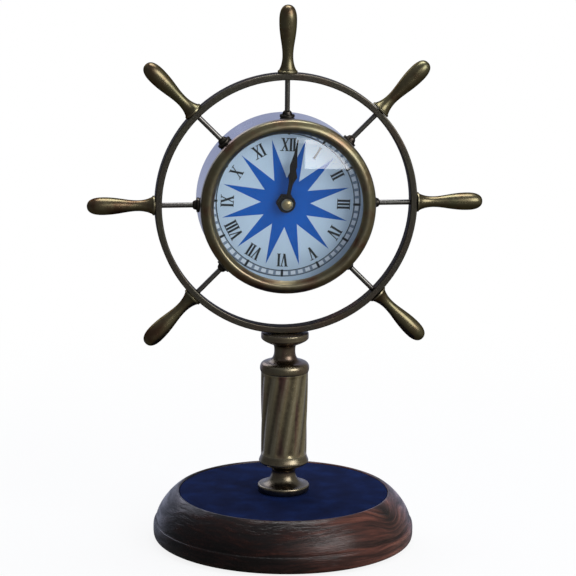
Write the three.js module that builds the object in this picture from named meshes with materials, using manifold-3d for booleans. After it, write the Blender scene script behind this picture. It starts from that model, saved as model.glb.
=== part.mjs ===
// Ship wheel table clock: a round clock held by seven spokes inside a ship's wheel, which
// stands on a spiral-fluted column over a turned wooden base. Millimetres, +Z up, front
// at -Y, origin at the centre of the underside of the felt pad.
import * as THREE from "three";
import { mergeVertices } from "three/addons/utils/BufferGeometryUtils.js";
import Module from "manifold-3d";

const wasm = await Module();
wasm.setup();

// Fits
const seatGap = 0.05; // between two faces that rest on each other
const slipGap = 0.2; // round a piece that drops or slides into another
const pinGap = 0.15; // round a shaft or a screw in its hole
const pressGap = 0.1; // round a shaft that a hand or a nut is pressed on

// Base
const padInset = 5; // pad inside the groove's radius
const padThickness = 1;
const baseRadius = 76.5; // widest, on the bead round the bottom
const grooveRadius = 75; // groove between the bead and the dome
const beadHeight = 10;
const woodHeight = 27.6;
const rimRadius = 62.6; // where the dome turns over to the felt
const rimRounding = 0.6;
const rimWidth = 1.2; // rim of wood round the felt
const feltThickness = 1;
const feltSink = 1.5; // depth of the felt's seat under the rim
const nutRecessRadius = 11;
const nutRecessDepth = 12;

// Tie rod that clamps the column to the base
const tieRodRadius = 3;
const washerRadius = 9;
const washerThickness = 1.2;
const baseNutFlats = 10;
const baseNutHeight = 5;
const tieRodStub = 1.2; // rod left under the nut
const tieRodTop = 8.6; // reach of the rod into the cap

// Column foot
const footRadius = 15.2;
const footSoleRadius = 13.4;
const footRimHeight = 3.2;
const footEdge = 1.3;
const footNeckRadius = 6.9;
const footNeckHeight = 12.4;
const footCupHeight = 15.2; // where the neck starts to flare into the cup
const footCupRadius = 14.55;
const footCupRim = 19.2;
const footHeight = 22.7;

// Fluted column
const columnHeight = 49.6;
const columnFootRadius = 13.35;
const columnTopRadius = 13.8;
const columnWall = 2.8;
const spigotHeight = 3;
const fluteCount = 12;
const fluteDepth = 0.7;
const fluteTwist = 37; // degrees of turn from the bottom to the top

// Column cap, heights counted from the top of the fluted column
const capBeadRadius = 14.4;
const capBeadHeight = 4.6;
const capShoulderRadius = 10.8;
const capShoulderHeight = 6.1;
const capNeckRadius = 6.15;
const capNeckHeight = 12.8;
const capThroatRadius = 7.2;
const capThroatHeight = 16.2;
const saucerRadius = 13.9;
const saucerRimHeight = 20.4;
const saucerEdge = 0.6;
const capHeight = 23.4;

// Wheel
const ringRadius = 76;
const ringThickness = 3.9;
const ringDepth = 8.5;
const spokeAngles = [0, 45, 90, 135, 180, 225, 315]; // the column takes the eighth place
const rodRadius = 1.5;
const rodInHandle = 11; // reach of each rod into its handle
const rodInDrum = 1.2; // end of each rod inside the drum wall
const ringScrewRadius = 2;
const ringScrewHeadRadius = 3.6;
const ringScrewHeadHeight = 1.9;
const ringScrewReach = 8.2; // length of thread in the cap
const screwTipGap = 0.8; // free end of each blind hole

// Handle
const handleLength = 38.8;
const handleFootRadius = 5.7;
const handleLip = 0.7;
const handleNeckRadius = 3.12;
const handleNeckHeight = 9.6;
const handleBellyRadius = 5.1;
const handleBellyHeight = 29.8;

// Collar that locks each rod on the drum
const collarRadius = 4.3;
const collarThickness = 1.6;
const collarBossWall = 0.85;
const collarBossHeight = 2.4;

// Clock case
const clockFront = 15; // front of the bezel ahead of the wheel's middle plane
const drumRadius = 50.3;
const drumWall = 1.2;
const dialSink = 19; // dial face behind the front of the bezel
const dialThickness = 0.8;
const ledgeWidth = 3.5;
const ledgeThickness = 1.5;
const drumFlangeWidth = 4.6;
const drumFlangeThickness = 1.8;

// Bezel
const bezelOverhang = 0.45; // bezel outside the drum
const bezelOpening = 43;
const bezelDepth = 7;
const bezelShoulder = 4.6; // where the rounded front meets the straight side
const bezelLipWidth = 1.5;
const bezelLipSink = 1.9;
const bezelSpigotDepth = 3.5;
const bezelSpigotWall = 1.8;

// Glass and the ring that holds it off the dial
const glassSink = 3.7;
const glassThickness = 2;
const spacerWall = 0.7;

// Back plate
const backPlateInset = 0.3; // plate inside the drum's radius
const backPlateThickness = 1;
const windowCorner = 2;
const plateScrewCount = 4;
const plateScrewRadius = 1;
const plateScrewHeadRadius = 2.2;
const plateScrewHeadHeight = 1.3;
const plateScrewReach = 4.4;

// Hands, lengths from the axis
const minuteHandLength = 38;
const minuteHandWidth = 3.4;
const minuteHandWidest = 22.5;
const minuteHandHub = 4;
const minuteHandAngle = 9.3; // degrees past twelve
const hourHandLength = 25.5;
const hourHandWidth = 5.6;
const hourHandWidest = 16.2;
const hourHandHub = 5.2;
const hourHandAngle = 12; // this hand is set late on its tube
const handStemWidth = 1.3;
const handTipWidth = 0.5;
const handThickness = 0.5;
const handGap = 0.6; // air between the hands
const capNutRadius = 3.35;
const capNutHeight = 3.3;
const capNutSide = 1.1;

// Hand arbors
const arborRadius = 1.45;
const arborThread = 1.7;
const hourTubeWall = 0.85;
const hourTubeEnd = 0.3; // tube left in front of the hour hand
const bushWall = 1.25;
const bushReach = 3.6; // bush ahead of the dial
const dialNutFlats = 10;
const dialNutHeight = 2.2;
const dialWasherRadius = 9;
const dialWasherThickness = 0.5;

// Motion work
const gearModule = 0.5;
const cannonTeeth = 10;
const minuteWheelTeeth = 30;
const minutePinionTeeth = 8;
const hourWheelTeeth = 32;
const settingTeeth = 15;
const gearThickness = 1;
const gearAir = 0.3; // between a gear and the cover, and between the two gear planes
const minuteWheelAngle = 60; // degrees from +X, seen from the front
const pivotRadius = 0.75;
const pivotReach = 0.6; // pivot in the cover
const driveUnitAir = 1.2; // between the gears and the drive unit

// Quartz movement
const caseEndWall = 1.5; // beside the battery bay
const caseCorner = 3;
const caseDepth = 15;
const caseWall = 1.2;
const caseAir = 0.3; // between the case and the back plate
const coverThickness = 1.2;
const batteryRadius = 7.1;
const batteryLength = 50.2;
const batteryButtonRadius = 2.7;
const batteryButtonLength = 1;
const batteryAir = 0.4; // between the battery and its bay
const contactThickness = 0.4;
const contactWidth = 8;
const contactBump = 0.6;
const knobRadius = 5.5;
const knobThickness = 2.6;
const knobRibs = 12;
const knobRibDepth = 0.3;
const knobShaftRadius = 1.5;
const driveUnitWidth = 31;
const driveUnitHeight = 21.5;
const boardWidth = 11;
const boardHeight = 19;
const boardThickness = 1;
const coilRadius = 3.2;
const coilLength = 17;
const coilFlangeRadius = 4;
const coilFlangeThickness = 1;

// Facets
const wideSides = 36;
const ringSides = 64;
const columnSides = 20;
const handleSides = 10;
const smallSides = 12;
const rodSides = 8;
const curveSteps = 3;
const cornerSteps = 2;
const fluteSteps = 5;
const fluteRings = 6;
const mergeDistance = 1e-4;
const cutPast = 1; // how far a cutting shape runs past what it cuts

// Heights up the column
const woodBottom = padThickness + seatGap;
const woodTop = woodBottom + woodHeight;
const feltTop = woodTop - feltSink + feltThickness;
const footBottom = feltTop + seatGap;
const columnBottom = footBottom + footHeight + seatGap;
const capBottom = columnBottom + columnHeight + seatGap;
const wheelCentre = capBottom + capHeight + seatGap + ringRadius;
const nutCeiling = woodBottom + nutRecessDepth;
const washerBottom = nutCeiling - seatGap - washerThickness;
const baseNutBottom = washerBottom - seatGap - baseNutHeight;

// Places along the clock's axis, larger towards the rear
const bezelFront = -clockFront;
const drumFront = bezelFront + bezelDepth + seatGap;
const glassFront = bezelFront + glassSink + seatGap;
const glassRear = glassFront + glassThickness;
const dialFront = bezelFront + dialSink;
const dialRear = dialFront + dialThickness;
const bushFront = dialFront - bushReach;
const hourHandRear = bushFront - handGap;
const hourHandFront = hourHandRear - handThickness;
const minuteHandRear = hourHandFront - hourTubeEnd - handGap;
const minuteHandFront = minuteHandRear - handThickness;
const arborFront = minuteHandFront - arborThread;
const coverFront = dialRear + dialWasherThickness + 2 * seatGap;
const coverRear = coverFront + coverThickness;
const caseFront = coverRear + seatGap;
const caseRear = caseFront + caseDepth - coverThickness;
const hourWheelFront = coverRear + gearAir;
const upperGearFront = hourWheelFront + gearThickness + gearAir + pinGap;
const upperGearRear = upperGearFront + gearThickness;
const driveUnitFront = upperGearRear + driveUnitAir;
const driveUnitRear = caseRear - caseWall - seatGap;
const pivotRear = driveUnitFront + pivotReach;
const drumRear = caseRear + caseAir;
const backPlateFront = drumRear + seatGap;
const backPlateRear = backPlateFront + backPlateThickness;

// Radii and places that follow from the fits
const padRadius = grooveRadius - padInset;
const feltRadius = rimRadius - rimWidth - slipGap;
const columnBore = columnFootRadius - columnWall;
const tieRodBore = tieRodRadius + pinGap;
const spigotRadius = columnBore - slipGap;
const rodBore = rodRadius + pinGap;
const collarBossRadius = rodBore + collarBossWall;
const drumInner = drumRadius - drumWall;
const drumFlangeInner = drumInner - drumFlangeWidth;
const plateScrewCircle = (drumInner + drumFlangeInner) / 2;
const backPlateRadius = drumRadius - backPlateInset;
const bezelRadius = drumRadius + bezelOverhang;
const glassRadius = drumInner - bezelSpigotWall - 2 * slipGap;
const ringInner = ringRadius - ringThickness;
const pivotBore = pivotRadius + pinGap;
const hourTubeBore = arborRadius + pinGap;
const hourTubeRadius = hourTubeBore + hourTubeWall;
const bushBore = hourTubeRadius + slipGap;
const bushRadius = bushBore + bushWall;
const bushHole = bushRadius + slipGap;
const bayHalfLength = batteryLength / 2 + batteryAir + contactBump + contactThickness;
const windowSize = 2 * bayHalfLength;
const caseSize = windowSize + 2 * caseEndWall;
const batteryPlace = new THREE.Vector3(
  0,
  caseFront + batteryAir / 2 + batteryRadius,
  caseWall + batteryAir + batteryRadius - caseSize / 2,
);
const bayTop = batteryPlace.z + batteryRadius + batteryAir;
const cavityBottom = bayTop + caseWall;
const driveUnitMiddle = cavityBottom + slipGap + driveUnitHeight / 2;
const minuteWheelPlace = onDial(gearDistance(cannonTeeth, minuteWheelTeeth), minuteWheelAngle);
const settingReach = gearDistance(minuteWheelTeeth, settingTeeth);
const settingPlace = new THREE.Vector2(
  0,
  minuteWheelPlace.y + Math.sqrt(settingReach ** 2 - minuteWheelPlace.x ** 2),
);

// Finishes
const antiqueBrass = finish(0x6e6040, 0.35, 1);
const darkBrass = finish(0x3c3a38, 0.35, 1);
const polishedNickel = finish(0xaaafc8, 0.12, 1);
const steel = finish(0x8c8f94, 0.35, 1);
const yellowBrass = finish(0xb59a55, 0.3, 1);
const blackLacquer = finish(0x101013, 0.35, 0.2);
const sheesham = finish(0x3a1f18, 0.3, 0);
const blueFelt = finish(0x16244c, 0.95, 0);
const greenFelt = finish(0x24352b, 0.95, 0);
const windowGlass = finish(0xe8f0f2, 0.05, 0);
const printedDial = finish(0xc3d2db, 0.5, 0);
const greyCard = finish(0xb6bac0, 0.6, 0);
const blackPlastic = finish(0x17181a, 0.45, 0);
const whitePlastic = finish(0xe4e2da, 0.5, 0);
const rubber = finish(0x202022, 0.9, 0);
const copper = finish(0xa8552e, 0.4, 1);
const boardGreen = finish(0x2d5a35, 0.6, 0);

function finish(color, roughness, metalness) {
  return new THREE.MeshStandardMaterial({ color, roughness, metalness });
}

// Small maths

function mix(from, to, share) {
  return from + (to - from) * share;
}

function radians(degrees) {
  return (degrees * Math.PI) / 180;
}

// A place on the clock's face, seen from the front: x to the right, y up.
function onDial(radius, degrees) {
  const angle = radians(degrees);
  return new THREE.Vector2(radius * Math.cos(angle), radius * Math.sin(angle));
}

// Solids

function solidOf(geometry) {
  const loose = geometry.index ? geometry.toNonIndexed() : geometry;
  const bare = new THREE.BufferGeometry();
  bare.setAttribute("position", loose.getAttribute("position"));
  const merged = mergeVertices(bare, mergeDistance);
  return new wasm.Manifold(
    new wasm.Mesh({
      numProp: 3,
      vertProperties: merged.attributes.position.array,
      triVerts: new Uint32Array(merged.index.array),
    }),
  );
}

function geometryOf(solid) {
  const mesh = solid.getMesh();
  const geometry = new THREE.BufferGeometry();
  geometry.setAttribute("position", new THREE.BufferAttribute(mesh.vertProperties, 3));
  geometry.setIndex(new THREE.BufferAttribute(mesh.triVerts, 1));
  geometry.computeVertexNormals();
  return geometry;
}

function cut(body, ...tools) {
  return geometryOf(tools.reduce((rest, tool) => rest.subtract(solidOf(tool)), solidOf(body)));
}

function join(...bodies) {
  return geometryOf(bodies.map(solidOf).reduce((sum, body) => sum.add(body)));
}

// A solid of revolution about Y. The outline starts and ends on the axis, or goes round a bore.
function turned(outline, sides) {
  const points = [...outline];
  if (points[0].x > 0) points.push(points[0].clone());
  if (THREE.ShapeUtils.area(points) < 0) points.reverse();
  return new THREE.LatheGeometry(points, sides);
}

// The same, about Z.
function turnedUpright(outline, sides) {
  return turned(outline, sides).rotateX(Math.PI / 2);
}

// A flat piece drawn as seen from the front, with its rear face at the given place.
function plate(shape, rear, thickness, curveSegments = handleSides) {
  const options = { depth: thickness, bevelEnabled: false, curveSegments };
  return new THREE.ExtrudeGeometry(shape, options)
    .rotateX(Math.PI / 2)
    .translate(0, rear, 0);
}

// A round bar along Y.
function bar(radius, front, rear, sides = smallSides) {
  return new THREE.CylinderGeometry(radius, radius, rear - front, sides)
    .translate(0, (front + rear) / 2, 0);
}

// A round bar along Z.
function post(radius, bottom, top, sides = smallSides) {
  return bar(radius, bottom, top, sides).rotateX(Math.PI / 2);
}

// A ring of square section about Y.
function collarRing(inner, outer, front, rear, sides) {
  return turned(
    new THREE.Path()
      .moveTo(inner, front)
      .lineTo(outer, front)
      .lineTo(outer, rear)
      .lineTo(inner, rear)
      .getPoints(),
    sides,
  );
}

function block(width, depth, height) {
  return new THREE.BoxGeometry(width, depth, height);
}

// A curve that leaves one radius and reaches the next running along the axis at both ends.
function sweep(path, radius, height, leave, arrive) {
  const start = path.currentPoint.clone();
  return path.bezierCurveTo(
    start.x,
    mix(start.y, height, leave),
    radius,
    mix(start.y, height, arrive),
    radius,
    height,
  );
}

// A rounded bead that bulges to the given radius and ends at the radius where it began.
function bead(path, bulge, height) {
  const start = path.currentPoint.clone();
  const control = (4 * bulge - start.x) / 3;
  return path.bezierCurveTo(
    control,
    mix(start.y, height, 0.25),
    control,
    mix(start.y, height, 0.75),
    start.x,
    height,
  );
}

function roundHole(x, y, radius) {
  const hole = new THREE.Path();
  hole.absarc(x, y, radius, 0, 2 * Math.PI, true);
  return hole;
}

function roundedSquare(size, corner) {
  const half = size / 2;
  const straight = half - corner;
  const outline = new THREE.Shape();
  outline.moveTo(-straight, -half);
  outline.lineTo(straight, -half);
  outline.absarc(straight, -straight, corner, -Math.PI / 2, 0);
  outline.lineTo(half, straight);
  outline.absarc(straight, straight, corner, 0, Math.PI / 2);
  outline.lineTo(-straight, half);
  outline.absarc(-straight, straight, corner, Math.PI / 2, Math.PI);
  outline.lineTo(-half, -straight);
  outline.absarc(-straight, -straight, corner, Math.PI, 1.5 * Math.PI);
  return outline;
}

function hexagon(flats) {
  const corners = Array.from({ length: 6 }, (_, i) => onDial(flats / Math.sqrt(3), 60 * i));
  return new THREE.Shape(corners);
}

// Gears

function pitchRadius(teeth) {
  return (gearModule * teeth) / 2;
}

function gearDistance(teethA, teethB) {
  return (gearModule * (teethA + teethB)) / 2;
}

// Phase of the second gear, in degrees, that meshes with the first one at this phase.
function meshPhase(phase, teeth, direction, otherTeeth) {
  const pastTooth = ((direction - phase) * teeth) / 360;
  return direction + 180 - ((0.5 - pastTooth) * 360) / otherTeeth;
}

// A spur gear with involute flanks, one tooth centred on its phase.
function gearShape(teeth, phase) {
  const pressureAngle = radians(20);
  const addendum = 0.8 * gearModule;
  const dedendum = 1.15 * gearModule;
  const thinning = 0.12 * gearModule;
  const pitch = pitchRadius(teeth);
  const base = pitch * Math.cos(pressureAngle);
  const involute = (angle) => Math.tan(angle) - angle;
  const halfAtPitch = Math.PI / (2 * teeth) - thinning / pitch;
  const halfAt = (radius) => {
    const angle = Math.acos(Math.min(1, base / radius));
    return halfAtPitch + involute(pressureAngle) - involute(angle);
  };
  const flank = [pitch - dedendum, pitch + addendum].map((radius) => [radius, halfAt(radius)]);
  const corners = [];
  for (let tooth = 0; tooth < teeth; tooth++) {
    const centre = phase + (tooth * 360) / teeth;
    const rising = flank.map(([radius, half]) => onDial(radius, centre - THREE.MathUtils.radToDeg(half)));
    const falling = flank.map(([radius, half]) => onDial(radius, centre + THREE.MathUtils.radToDeg(half)));
    corners.push(...rising, ...falling.reverse());
  }
  return new THREE.Shape(corners);
}

// Base pieces

function feltPad() {
  return post(padRadius, 0, padThickness, wideSides);
}

function woodenBase() {
  const seat = woodTop - feltSink;
  const path = new THREE.Path()
    .moveTo(tieRodBore, nutCeiling)
    .lineTo(nutRecessRadius, nutCeiling)
    .lineTo(nutRecessRadius, woodBottom)
    .lineTo(grooveRadius, woodBottom);
  bead(path, baseRadius, woodBottom + beadHeight);
  const fall = grooveRadius - rimRadius;
  path
    .bezierCurveTo(
      grooveRadius - 0.15 * fall,
      mix(woodBottom + beadHeight, woodTop, 0.57),
      rimRadius + 0.1 * fall,
      woodTop,
      rimRadius,
      woodTop,
    )
    .lineTo(feltRadius + slipGap, woodTop - rimRounding)
    .lineTo(feltRadius + slipGap, seat)
    .lineTo(tieRodBore, seat);
  return turnedUpright(path.getPoints(curveSteps + 1), wideSides);
}

function feltDisc() {
  const bottom = woodTop - feltSink + seatGap;
  return collarRing(tieRodBore, feltRadius, bottom, feltTop, wideSides).rotateX(Math.PI / 2);
}

function baseWasher() {
  return collarRing(tieRodBore, washerRadius, washerBottom, washerBottom + washerThickness, smallSides)
    .rotateX(Math.PI / 2);
}

function baseNut() {
  const shape = hexagon(baseNutFlats);
  shape.holes.push(roundHole(0, 0, tieRodBore));
  return plate(shape, 0, baseNutHeight).rotateX(-Math.PI / 2).translate(0, 0, baseNutBottom);
}

function tieRod() {
  return post(tieRodRadius, baseNutBottom - tieRodStub, capBottom + tieRodTop);
}

// Column pieces

function columnFoot() {
  const path = new THREE.Path()
    .moveTo(tieRodBore, 0)
    .lineTo(footSoleRadius, 0)
    .quadraticCurveTo(footRadius, 0.1 * footRimHeight, footRadius, footRimHeight)
    .lineTo(footRadius - footEdge / 2, footRimHeight + footEdge)
    .bezierCurveTo(
      mix(footRadius, footNeckRadius, 0.65),
      mix(footRimHeight + footEdge, footNeckHeight, 0.12),
      footNeckRadius,
      mix(footRimHeight + footEdge, footNeckHeight, 0.45),
      footNeckRadius,
      footNeckHeight,
    )
    .bezierCurveTo(
      footNeckRadius,
      mix(footNeckHeight, footCupHeight, 0.9),
      mix(footNeckRadius, footCupRadius, 0.45),
      footCupHeight,
      mix(footNeckRadius, footCupRadius, 0.8),
      mix(footCupHeight, footCupRim, 0.45),
    )
    .lineTo(footCupRadius, footCupRim)
    .lineTo(mix(footCupRadius, columnFootRadius, 0.3), mix(footCupRim, footHeight, 0.4))
    .lineTo(columnFootRadius, footHeight)
    .lineTo(spigotRadius, footHeight)
    .lineTo(spigotRadius, footHeight + spigotHeight)
    .lineTo(tieRodBore, footHeight + spigotHeight);
  return turnedUpright(path.getPoints(curveSteps), columnSides).translate(0, 0, footBottom);
}

// A plain tube whose outside is then drawn in along twelve grooves that climb round it.
function flutedColumn() {
  const path = new THREE.Path()
    .moveTo(columnBore, 0)
    .lineTo(columnFootRadius, 0);
  for (let ring = 1; ring <= fluteRings; ring++) {
    const share = ring / fluteRings;
    path.lineTo(mix(columnFootRadius, columnTopRadius, share), columnHeight * share);
  }
  path.lineTo(columnBore, columnHeight);
  const geometry = turnedUpright(path.getPoints(), fluteCount * fluteSteps);
  const corners = geometry.attributes.position;
  for (let i = 0; i < corners.count; i++) {
    const x = corners.getX(i);
    const y = corners.getY(i);
    const radius = Math.hypot(x, y);
    if (radius < mix(columnBore, columnFootRadius, 0.5)) continue;
    const turn = radians(fluteTwist) * (corners.getZ(i) / columnHeight);
    const wave = 0.5 - 0.5 * Math.cos(fluteCount * (Math.atan2(y, x) - turn));
    const scale = 1 - (fluteDepth * wave ** 2) / radius;
    corners.setXY(i, x * scale, y * scale);
  }
  return geometry.translate(0, 0, columnBottom);
}

function columnCap() {
  const rodEnd = tieRodTop + screwTipGap;
  const screwEnd = capHeight - ringScrewReach - screwTipGap;
  const screwBore = ringScrewRadius + pinGap;
  const path = new THREE.Path()
    .moveTo(0, rodEnd)
    .lineTo(tieRodBore, rodEnd)
    .lineTo(tieRodBore, -spigotHeight)
    .lineTo(spigotRadius, -spigotHeight)
    .lineTo(spigotRadius, 0)
    .lineTo(columnTopRadius, 0);
  bead(path, capBeadRadius, capBeadHeight);
  path
    .lineTo(capShoulderRadius, capShoulderHeight)
    .bezierCurveTo(
      mix(capShoulderRadius, capNeckRadius, 0.75),
      mix(capShoulderHeight, capNeckHeight, 0.12),
      capNeckRadius,
      mix(capShoulderHeight, capNeckHeight, 0.45),
      capNeckRadius,
      capNeckHeight,
    )
    .lineTo(capThroatRadius, capThroatHeight)
    .bezierCurveTo(
      mix(capThroatRadius, saucerRadius, 0.3),
      mix(capThroatHeight, saucerRimHeight, 0.2),
      saucerRadius,
      mix(capThroatHeight, saucerRimHeight, 0.67),
      saucerRadius,
      saucerRimHeight,
    )
    .lineTo(saucerRadius, capHeight - saucerEdge)
    .lineTo(saucerRadius - saucerEdge, capHeight)
    .lineTo(screwBore, capHeight)
    .lineTo(screwBore, screwEnd)
    .lineTo(0, screwEnd);
  return turnedUpright(path.getPoints(curveSteps), columnSides).translate(0, 0, capBottom);
}

// Wheel pieces, about the wheel's centre

// Turns a piece drawn along +Z so that it points along the spoke at this angle.
function alongSpoke(geometry, degrees) {
  return geometry.rotateY(radians(90 - degrees));
}

function wheelRing() {
  const front = -ringDepth / 2;
  const rear = ringDepth / 2;
  const band = collarRing(ringInner, ringRadius, front, rear, ringSides);
  const past = ringThickness / 2;
  const holes = spokeAngles.map((degrees) =>
    alongSpoke(post(rodBore, ringInner - past, ringRadius + past, rodSides), degrees),
  );
  return cut(band, ...holes, ringScrewShape(pinGap, past));
}

// The countersunk screw that holds the ring on the cap. Its hole has the same shape with a
// clearance round it, and a countersink that runs on past the ring.
function ringScrewShape(clearance, headRise) {
  const headTop = -ringInner - slipGap + headRise;
  const headBottom = -ringInner - slipGap - ringScrewHeadHeight;
  const slope = (ringScrewHeadRadius - ringScrewRadius) / ringScrewHeadHeight;
  const radius = ringScrewRadius + clearance;
  const outline = new THREE.Path()
    .moveTo(0, -ringRadius - ringScrewReach)
    .lineTo(radius, -ringRadius - ringScrewReach)
    .lineTo(radius, headBottom)
    .lineTo(radius + slope * (headTop - headBottom), headTop)
    .lineTo(0, headTop)
    .getPoints();
  return turnedUpright(outline, smallSides);
}

function spokeRod() {
  return post(rodRadius, drumInner - rodInDrum, ringRadius + rodInHandle, rodSides);
}

function spokeHandle() {
  const bore = rodInHandle + screwTipGap;
  const path = new THREE.Path()
    .moveTo(0, bore)
    .lineTo(rodBore, bore)
    .lineTo(rodBore, 0)
    .lineTo(handleFootRadius, 0)
    .lineTo(handleFootRadius, handleLip)
    .bezierCurveTo(
      mix(handleFootRadius, handleNeckRadius, 0.65),
      mix(handleLip, handleNeckHeight, 0.3),
      handleNeckRadius,
      mix(handleLip, handleNeckHeight, 0.62),
      handleNeckRadius,
      handleNeckHeight,
    );
  sweep(path, handleBellyRadius, handleBellyHeight, 0.32, 0.56);
  path.bezierCurveTo(
    handleBellyRadius,
    mix(handleBellyHeight, handleLength, 0.69),
    0.63 * handleBellyRadius,
    handleLength,
    0,
    handleLength,
  );
  return turnedUpright(path.getPoints(curveSteps), handleSides)
    .translate(0, 0, ringRadius + seatGap);
}

function spokeCollar() {
  const outline = new THREE.Path()
    .moveTo(rodBore, 0)
    .lineTo(collarRadius, 0)
    .lineTo(collarRadius, collarThickness)
    .lineTo(collarBossRadius, collarThickness)
    .lineTo(rodBore, collarThickness + collarBossHeight)
    .getPoints();
  return turnedUpright(outline, handleSides).translate(0, 0, drumRadius + seatGap);
}

// Case of the clock, about the wheel's centre

function clockDrum() {
  const ledgeFront = dialRear + seatGap;
  const ledgeRear = ledgeFront + ledgeThickness;
  const flangeFront = drumRear - drumFlangeThickness;
  const shell = turned(
    new THREE.Path()
      .moveTo(drumRadius, drumFront)
      .lineTo(drumRadius, drumRear)
      .lineTo(drumFlangeInner, drumRear)
      .lineTo(drumFlangeInner, flangeFront)
      .lineTo(drumInner, flangeFront)
      .lineTo(drumInner, ledgeRear)
      .lineTo(drumInner - ledgeWidth, ledgeRear)
      .lineTo(drumInner - ledgeWidth, ledgeFront)
      .lineTo(drumInner, ledgeFront)
      .lineTo(drumInner, drumFront)
      .getPoints(),
    wideSides,
  );
  const rodHoles = spokeAngles.map((degrees) =>
    alongSpoke(post(rodBore, drumInner - drumWall, drumRadius + drumWall, rodSides), degrees),
  );
  const screwHoles = plateScrewPlaces().map((place) =>
    plateScrewHole(flangeFront, drumRear).translate(place.x, 0, place.y),
  );
  return cut(shell, ...rodHoles, ...screwHoles);
}

function clockBezel() {
  const spigot = drumInner - slipGap;
  const rebate = spigot - bezelSpigotWall;
  const rim = bezelOpening + bezelLipWidth;
  const path = new THREE.Path()
    .moveTo(bezelOpening, glassSink)
    .lineTo(bezelOpening, bezelLipSink)
    .lineTo(rim, bezelLipSink)
    .bezierCurveTo(
      mix(rim, bezelRadius, 0.1),
      -0.1 * bezelLipSink,
      mix(rim, bezelRadius, 0.45),
      -0.28 * bezelLipSink,
      mix(rim, bezelRadius, 0.72),
      0.36 * bezelShoulder,
    )
    .quadraticCurveTo(
      bezelRadius,
      0.62 * bezelShoulder,
      bezelRadius,
      bezelShoulder,
    )
    .lineTo(bezelRadius, bezelDepth)
    .lineTo(spigot, bezelDepth)
    .lineTo(spigot, bezelDepth + bezelSpigotDepth)
    .lineTo(rebate, bezelDepth + bezelSpigotDepth)
    .lineTo(rebate, glassSink);
  return turned(path.getPoints(curveSteps), wideSides).translate(0, bezelFront, 0);
}

function glass() {
  return bar(glassRadius, glassFront, glassRear, wideSides);
}

function spacerRing() {
  return collarRing(
    glassRadius - spacerWall,
    glassRadius,
    glassRear + seatGap,
    dialFront - seatGap,
    wideSides,
  );
}

function dial() {
  return collarRing(bushHole, drumInner - slipGap, dialFront, dialRear, wideSides);
}

function plateScrewPlaces() {
  const step = 360 / plateScrewCount;
  return Array.from({ length: plateScrewCount }, (_, i) => onDial(plateScrewCircle, step * (i + 0.5)));
}

function plateScrewHole(front, rear) {
  return bar(plateScrewRadius + pinGap, front - cutPast, rear + cutPast, rodSides);
}

function backPlate() {
  const sheet = bar(backPlateRadius, backPlateFront, backPlateRear, wideSides);
  const window = plate(
    roundedSquare(windowSize, windowCorner),
    backPlateRear + cutPast,
    backPlateThickness + 2 * cutPast,
    cornerSteps,
  );
  const holes = plateScrewPlaces().map((place) =>
    plateScrewHole(backPlateFront, backPlateRear).translate(place.x, 0, place.y),
  );
  return cut(sheet, window, ...holes);
}

function plateScrew() {
  const head = backPlateRear + seatGap;
  const outline = new THREE.Path()
    .moveTo(0, backPlateRear - plateScrewReach)
    .lineTo(plateScrewRadius, backPlateRear - plateScrewReach)
    .lineTo(plateScrewRadius, head)
    .lineTo(plateScrewHeadRadius, head)
    .lineTo(plateScrewHeadRadius, head + 0.4 * plateScrewHeadHeight)
    .lineTo(0.6 * plateScrewHeadRadius, head + plateScrewHeadHeight)
    .lineTo(0, head + plateScrewHeadHeight)
    .getPoints();
  return turned(outline, rodSides);
}

// Hands and their arbors, about the wheel's centre

// A flat hand that points up: a round hub, a thin stem, a leaf and a fine tip.
function handShape(length, width, widest, hub, bore) {
  const stem = handStemWidth / 2;
  const leafStart = mix(hub, widest, 0.5);
  const hubEdge = Math.asin(stem / hub);
  const shape = new THREE.Shape();
  shape.absarc(0, 0, hub, Math.PI / 2 + hubEdge, 2.5 * Math.PI - hubEdge);
  shape.lineTo(stem, leafStart);
  shape.quadraticCurveTo(stem, mix(leafStart, widest, 0.5), width / 2, widest);
  shape.quadraticCurveTo(
    width / 4,
    mix(widest, length, 0.35),
    handTipWidth / 2,
    length,
  );
  shape.lineTo(-handTipWidth / 2, length);
  shape.quadraticCurveTo(-width / 4, mix(widest, length, 0.35), -width / 2, widest);
  shape.quadraticCurveTo(-stem, mix(leafStart, widest, 0.5), -stem, leafStart);
  shape.holes.push(roundHole(0, 0, bore));
  return shape;
}

function minuteHand() {
  const shape = handShape(
    minuteHandLength,
    minuteHandWidth,
    minuteHandWidest,
    minuteHandHub,
    arborRadius + pressGap,
  );
  return plate(shape, minuteHandRear, handThickness, smallSides / 2).rotateY(radians(minuteHandAngle));
}

function hourHand() {
  const shape = handShape(
    hourHandLength,
    hourHandWidth,
    hourHandWidest,
    hourHandHub,
    hourTubeRadius + pressGap,
  );
  return plate(shape, hourHandRear, handThickness, smallSides / 2).rotateY(radians(hourHandAngle));
}

function handCapNut() {
  const face = minuteHandFront - seatGap;
  const bore = arborRadius + pressGap;
  const outline = new THREE.Path()
    .moveTo(0, arborFront - pinGap)
    .lineTo(bore, arborFront - pinGap)
    .lineTo(bore, face)
    .lineTo(capNutRadius, face)
    .lineTo(capNutRadius, face - capNutSide)
    .bezierCurveTo(
      capNutRadius,
      mix(face - capNutSide, face - capNutHeight, 0.6),
      0.6 * capNutRadius,
      face - capNutHeight,
      0,
      face - capNutHeight,
    )
    .getPoints(curveSteps);
  return turned(outline, smallSides);
}

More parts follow.
